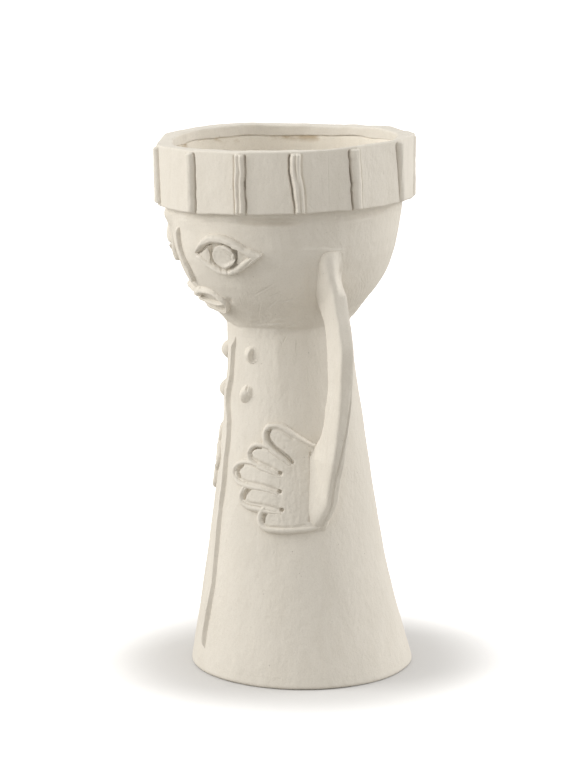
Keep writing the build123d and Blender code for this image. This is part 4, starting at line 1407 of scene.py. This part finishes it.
def arm(side, name):
    """A thick strip bent from the head to the hip, its edges rounded."""
    n = 420
    # pair the points of the two edges so that the sections stay across
    o_keys = [0.0, 0.16, 0.36, 0.56, 0.78, 1.0]
    i_keys = [0.0, 0.16, 0.38, 0.58, 0.80, 1.0]
    k = np.linspace(0, 1, n)
    o = resample(ARM_OUTER, 600)
    i = resample(ARM_INNER, 600)
    ko = np.interp(k, np.linspace(0, 1, 6), o_keys)
    ki = np.interp(k, np.linspace(0, 1, 6), i_keys)
    u600 = np.linspace(0, 1, 600)
    oo = np.stack([np.interp(ko, u600, o[:, 0]), np.interp(ko, u600, o[:, 1])], 1)
    ii = np.stack([np.interp(ki, u600, i[:, 0]), np.interp(ki, u600, i[:, 1])], 1)
    mid, half = (oo + ii) / 2, (oo - ii) / 2
    up = np.array([0, 0, 1.0])
    # points round a section: a rounded oblong, evenly spaced
    m = 150
    fine = np.linspace(0, 2 * math.pi, 4001)

    def oblong(t):
        c, si = np.cos(t), np.sin(t)
        return np.sign(c) * np.abs(c) ** 0.32, np.sign(si) * np.abs(si) ** 0.42

    fx, fy = oblong(fine)
    far = np.concatenate([[0], np.cumsum(np.hypot(np.diff(fx) * 14.0, np.diff(fy) * 6.2))])
    ex, ey = oblong(np.interp(np.arange(m) / m * far[-1], far, fine))
    t_out = np.interp(k, [0, 0.12, 0.5, 0.85, 1.0], [6.3, 6.3, 6.0, 5.1, 4.6])
    t_in = np.interp(k, [0, 0.12, 0.3, 0.5, 0.7, 0.85, 1.0], [8.2, 7.8, 6.6, 6.4, 7.0, 8.8, 10.5])
    o_r = oo[:, 0]
    rows = []
    for j in range(n):
        px = mid[j][0] + half[j][0] * ex
        pz = mid[j][1] + half[j][1] * ex
        thick = t_in[j] + (t_out[j] - t_in[j]) * (ex + 1) / 2
        # a groove left along the outer face, and a thin fin at its upper back edge
        face = smoothstep(0.80, 0.97, ex)
        at = -0.5 + 0.62 * smoothstep(0.58, 0.84, k[j]) - 0.28 * smoothstep(0.86, 0.97, k[j])
        on = smoothstep(0.50, 0.60, k[j]) * smoothstep(1.0, 0.96, k[j])
        cut = 0.95 * np.exp(-((ey - at) / 0.085) ** 2) - 0.35 * np.exp(-((ey - at + 0.2) / 0.1) ** 2)
        fin = 0.5 * np.exp(-((ey + 0.86) / 0.10) ** 2) * smoothstep(0.42, 0.3, k[j]) * smoothstep(0.04, 0.1, k[j])
        px = px + (fin - cut * on) * face
        # spread where it is pressed on the head and on the body
        foot = np.interp(pz, OUT[:, 0], OUT[:, 1]) + (3.0 if k[j] > 0.5 else 0.4)
        near_foot = np.clip(1 - (px - foot) / max(o_r[j] - float(np.min(foot)), 4.0), 0, 1.1)
        held = smoothstep(0.60, 0.72, k[j]) + smoothstep(0.22, 0.10, k[j])
        reach = np.where(ey > 0, np.interp(pz, FOOT_REACH[:, 0], FOOT_REACH[:, 1]), 9.0)
        thick = thick + (t_out[j] + (reach - t_out[j]) * near_foot - thick) * held
        # its back is smeared down on to the head
        px = px - np.clip(px - foot - 0.2, 0, None) * 0.92 * smoothstep(294.0, 312.0, pz) * smoothstep(0.35, -0.95, ey) * (k[j] < 0.5)
        a = math.radians((93.0 - 2.4 * smoothstep(0.5, 0.85, k[j]) - 7.0 * smoothstep(0.88, 1.0, k[j])) * side)
        radial = np.array([math.sin(a), -math.cos(a), 0.0])
        across = np.array([math.cos(a), math.sin(a), 0.0]) * -side
        rows.append(np.outer(px, radial) + np.outer(pz, up) + np.outer(thick * ey, across))
    P = np.array(rows)
    N = -normals_of(P, wrap=True)
    c0 = P.mean(axis=1, keepdims=True)
    if ((P - c0) * N).sum() < 0:
        N = -N
    P = P + N * (0.60 * fbm(P, (24, 24, 30), 2, 301) + 0.30 * fbm(P, (9, 9, 12), 3, 302)
                 + 0.10 * noise(P, (2.2, 2.2, 9), 303) - 0.35)[..., None]
    quads = grid_faces(n, m, wrap=True)
    ring = np.arange(m)
    nxt = (ring + 1) % m
    verts = np.concatenate([P.reshape(-1, 3), [P[0].mean(axis=0), P[-1].mean(axis=0)]])
    first, last = n * m, n * m + 1
    caps = np.concatenate([np.stack([nxt, ring, 0 * ring + first], 1),
                           np.stack([(n - 1) * m + ring, (n - 1) * m + nxt, 0 * ring + last], 1)])
    row = to_row(verts)
    # outward-facing?
    v0 = P.reshape(-1, 3)[quads[m * 5]]
    nrm = np.cross(v0[1] - v0[0], v0[2] - v0[0])
    out = v0.mean(axis=0) - P[5].mean(axis=0)
    if nrm @ out < 0:
        quads, caps = quads[:, ::-1], caps[:, ::-1]
    ob = make_object(name + "_strip", row, [quads, caps], CLAY_ARM)
    settle(ob, name + "_arm")


arm(1, "left")
arm(-1, "right")


# =====================================================================
# Floor and light
# =====================================================================
def floor():
    """A wide pale floor. It is overexposed to the eye, as in a light tent,
    but throws back only part of the light."""
    mat = bpy.data.materials.new("floor_white")
    mat.use_nodes = True
    nt = mat.node_tree
    nt.nodes.clear()
    out = nt.nodes.new('ShaderNodeOutputMaterial')
    seen = nt.nodes.new('ShaderNodeBsdfDiffuse')
    glow = nt.nodes.new('ShaderNodeEmission')
    glow.inputs['Color'].default_value = (1, 1, 1, 1)
    # painted shade: the floor's colour is made darker close to the object, a painted shadow round its base on top of
    # the cast one
    co = nt.nodes.new('ShaderNodeTexCoord')
    span = nt.nodes.new('ShaderNodeVectorMath')
    span.operation = 'LENGTH'
    nt.links.new(co.outputs['Object'], span.inputs[0])
    painted_shade_tone = nt.nodes.new('ShaderNodeMapRange')
    nt.links.new(span.outputs['Value'], painted_shade_tone.inputs['Value'])
    for key, val in (('From Min', 0.09), ('From Max', 0.17), ('To Min', 0.0), ('To Max', 1.0)):
        painted_shade_tone.inputs[key].default_value = val
    shade = nt.nodes.new('ShaderNodeMix')
    shade.data_type = 'RGBA'
    nt.links.new(painted_shade_tone.outputs['Result'], shade.inputs[0])
    shade.inputs[6].default_value = (*FLOOR_PAINTED_SHADE, 1)
    shade.inputs[7].default_value = (*FLOOR_SEEN, 1)
    nt.links.new(shade.outputs[2], seen.inputs['Color'])
    # painted shade: the glow fades to nothing close to the object, darkening the floor round its base
    power = nt.nodes.new('ShaderNodeMapRange')
    nt.links.new(span.outputs['Value'], power.inputs['Value'])
    power.interpolation_type = 'SMOOTHSTEP'
    for key, val in (('From Min', 0.10), ('From Max', 0.21), ('To Min', 0.0), ('To Max', FLOOR_GLOW)):
        power.inputs[key].default_value = val
    nt.links.new(power.outputs['Result'], glow.inputs['Strength'])
    add = nt.nodes.new('ShaderNodeAddShader')
    nt.links.new(seen.outputs[0], add.inputs[0])
    nt.links.new(glow.outputs[0], add.inputs[1])
    dull = nt.nodes.new('ShaderNodeBsdfDiffuse')
    dull.inputs['Color'].default_value = (*FLOOR_BOUNCE, 1)
    path = nt.nodes.new('ShaderNodeLightPath')
    mix = nt.nodes.new('ShaderNodeMixShader')
    nt.links.new(path.outputs['Is Camera Ray'], mix.inputs[0])
    nt.links.new(dull.outputs[0], mix.inputs[1])
    nt.links.new(add.outputs[0], mix.inputs[2])
    nt.links.new(mix.outputs[0], out.inputs['Surface'])
    me = bpy.data.meshes.new("floor")
    k = 14.0
    me.from_pydata([(-k, -k, -0.0002), (k, -k, -0.0002), (k, k, -0.0002), (-k, k, -0.0002)], [], [(0, 1, 2, 3)])
    me.materials.append(mat)
    ob = bpy.data.objects.new("floor", me)
    bpy.context.scene.collection.objects.link(ob)


FLOOR_SEEN = (0.86, 0.85, 0.84)
FLOOR_BOUNCE = (0.47, 0.455, 0.43)
# painted shade: the floor's colour close to the object
FLOOR_PAINTED_SHADE = (0.68, 0.67, 0.66)
FLOOR_GLOW = 0.55
floor()


def side_vector(alpha, elevation):
    """Direction at an angle from the photographer's side, to the right."""
    a, e = math.radians(alpha), math.radians(elevation)
    q = CAM_BACK * math.cos(a) + CAM_RIGHT * math.sin(a)
    return (float(q[0] * math.cos(e)), float(q[1] * math.cos(e)), math.sin(e))


def area(name, alpha, elevation, distance, size, power, colour=(1, 1, 1)):
    li = bpy.data.lights.new(name, 'AREA')
    li.shape = 'RECTANGLE'
    li.size, li.size_y = size
    li.energy = power
    li.color = colour
    ob = bpy.data.objects.new(name, li)
    target = Vector((0, 0, 0.22))
    place = Vector(side_vector(alpha, elevation)) * distance + target
    ob.location = place
    ob.rotation_euler = (target - place).to_track_quat('-Z', 'Y').to_euler()
    bpy.context.scene.collection.objects.link(ob)


area("key", -84, 24, 2.0, (1.1, 1.1), 22.0, (1.0, 0.99, 0.965))
area("fill", 104, 20, 2.2, (1.5, 1.5), 22.0)

bpy.context.scene.view_settings.view_transform = 'Standard'
bpy.context.scene.view_settings.look = 'None'


def light_tent():
    """Soft light from all round, strongest from the sides, less from the front, least from above."""
    world = bpy.context.scene.world or bpy.data.worlds.new("world")
    bpy.context.scene.world = world
    world.use_nodes = True
    nt = world.node_tree
    nt.nodes.clear()
    out = nt.nodes.new('ShaderNodeOutputWorld')
    co = nt.nodes.new('ShaderNodeTexCoord')
    total = None
    for direction, gain in ((side_vector(-90, 20), 0.45), (side_vector(108, 8), 0.51), ((0, 0, 1), 0.09),
                            (side_vector(15, 8), 0.34)):
        dot = nt.nodes.new('ShaderNodeVectorMath')
        dot.operation = 'DOT_PRODUCT'
        nt.links.new(co.outputs['Generated'], dot.inputs[0])
        dot.inputs[1].default_value = direction
        cl = nt.nodes.new('ShaderNodeMath')
        cl.operation = 'MAXIMUM'
        nt.links.new(dot.outputs['Value'], cl.inputs[0])
        cl.inputs[1].default_value = 0.0
        sq = nt.nodes.new('ShaderNodeMath')
        sq.operation = 'POWER'
        nt.links.new(cl.outputs[0], sq.inputs[0])
        sq.inputs[1].default_value = 1.5
        add = nt.nodes.new('ShaderNodeMath')
        add.operation = 'MULTIPLY_ADD'
        nt.links.new(sq.outputs[0], add.inputs[0])
        add.inputs[1].default_value = gain
        if total is None:
            add.inputs[2].default_value = 0.46
        else:
            nt.links.new(total, add.inputs[2])
        total = add.outputs[0]
    soft = nt.nodes.new('ShaderNodeBackground')
    soft.inputs['Color'].default_value = (1.0, 0.995, 0.98, 1)
    nt.links.new(total, soft.inputs['Strength'])
    white = nt.nodes.new('ShaderNodeBackground')
    white.inputs['Color'].default_value = (1, 1, 1, 1)
    white.inputs['Strength'].default_value = 1.02
    path = nt.nodes.new('ShaderNodeLightPath')
    mix = nt.nodes.new('ShaderNodeMixShader')
    nt.links.new(path.outputs['Is Camera Ray'], mix.inputs[0])
    nt.links.new(soft.outputs[0], mix.inputs[1])
    nt.links.new(white.outputs[0], mix.inputs[2])
    nt.links.new(mix.outputs[0], out.inputs['Surface'])


light_tent()
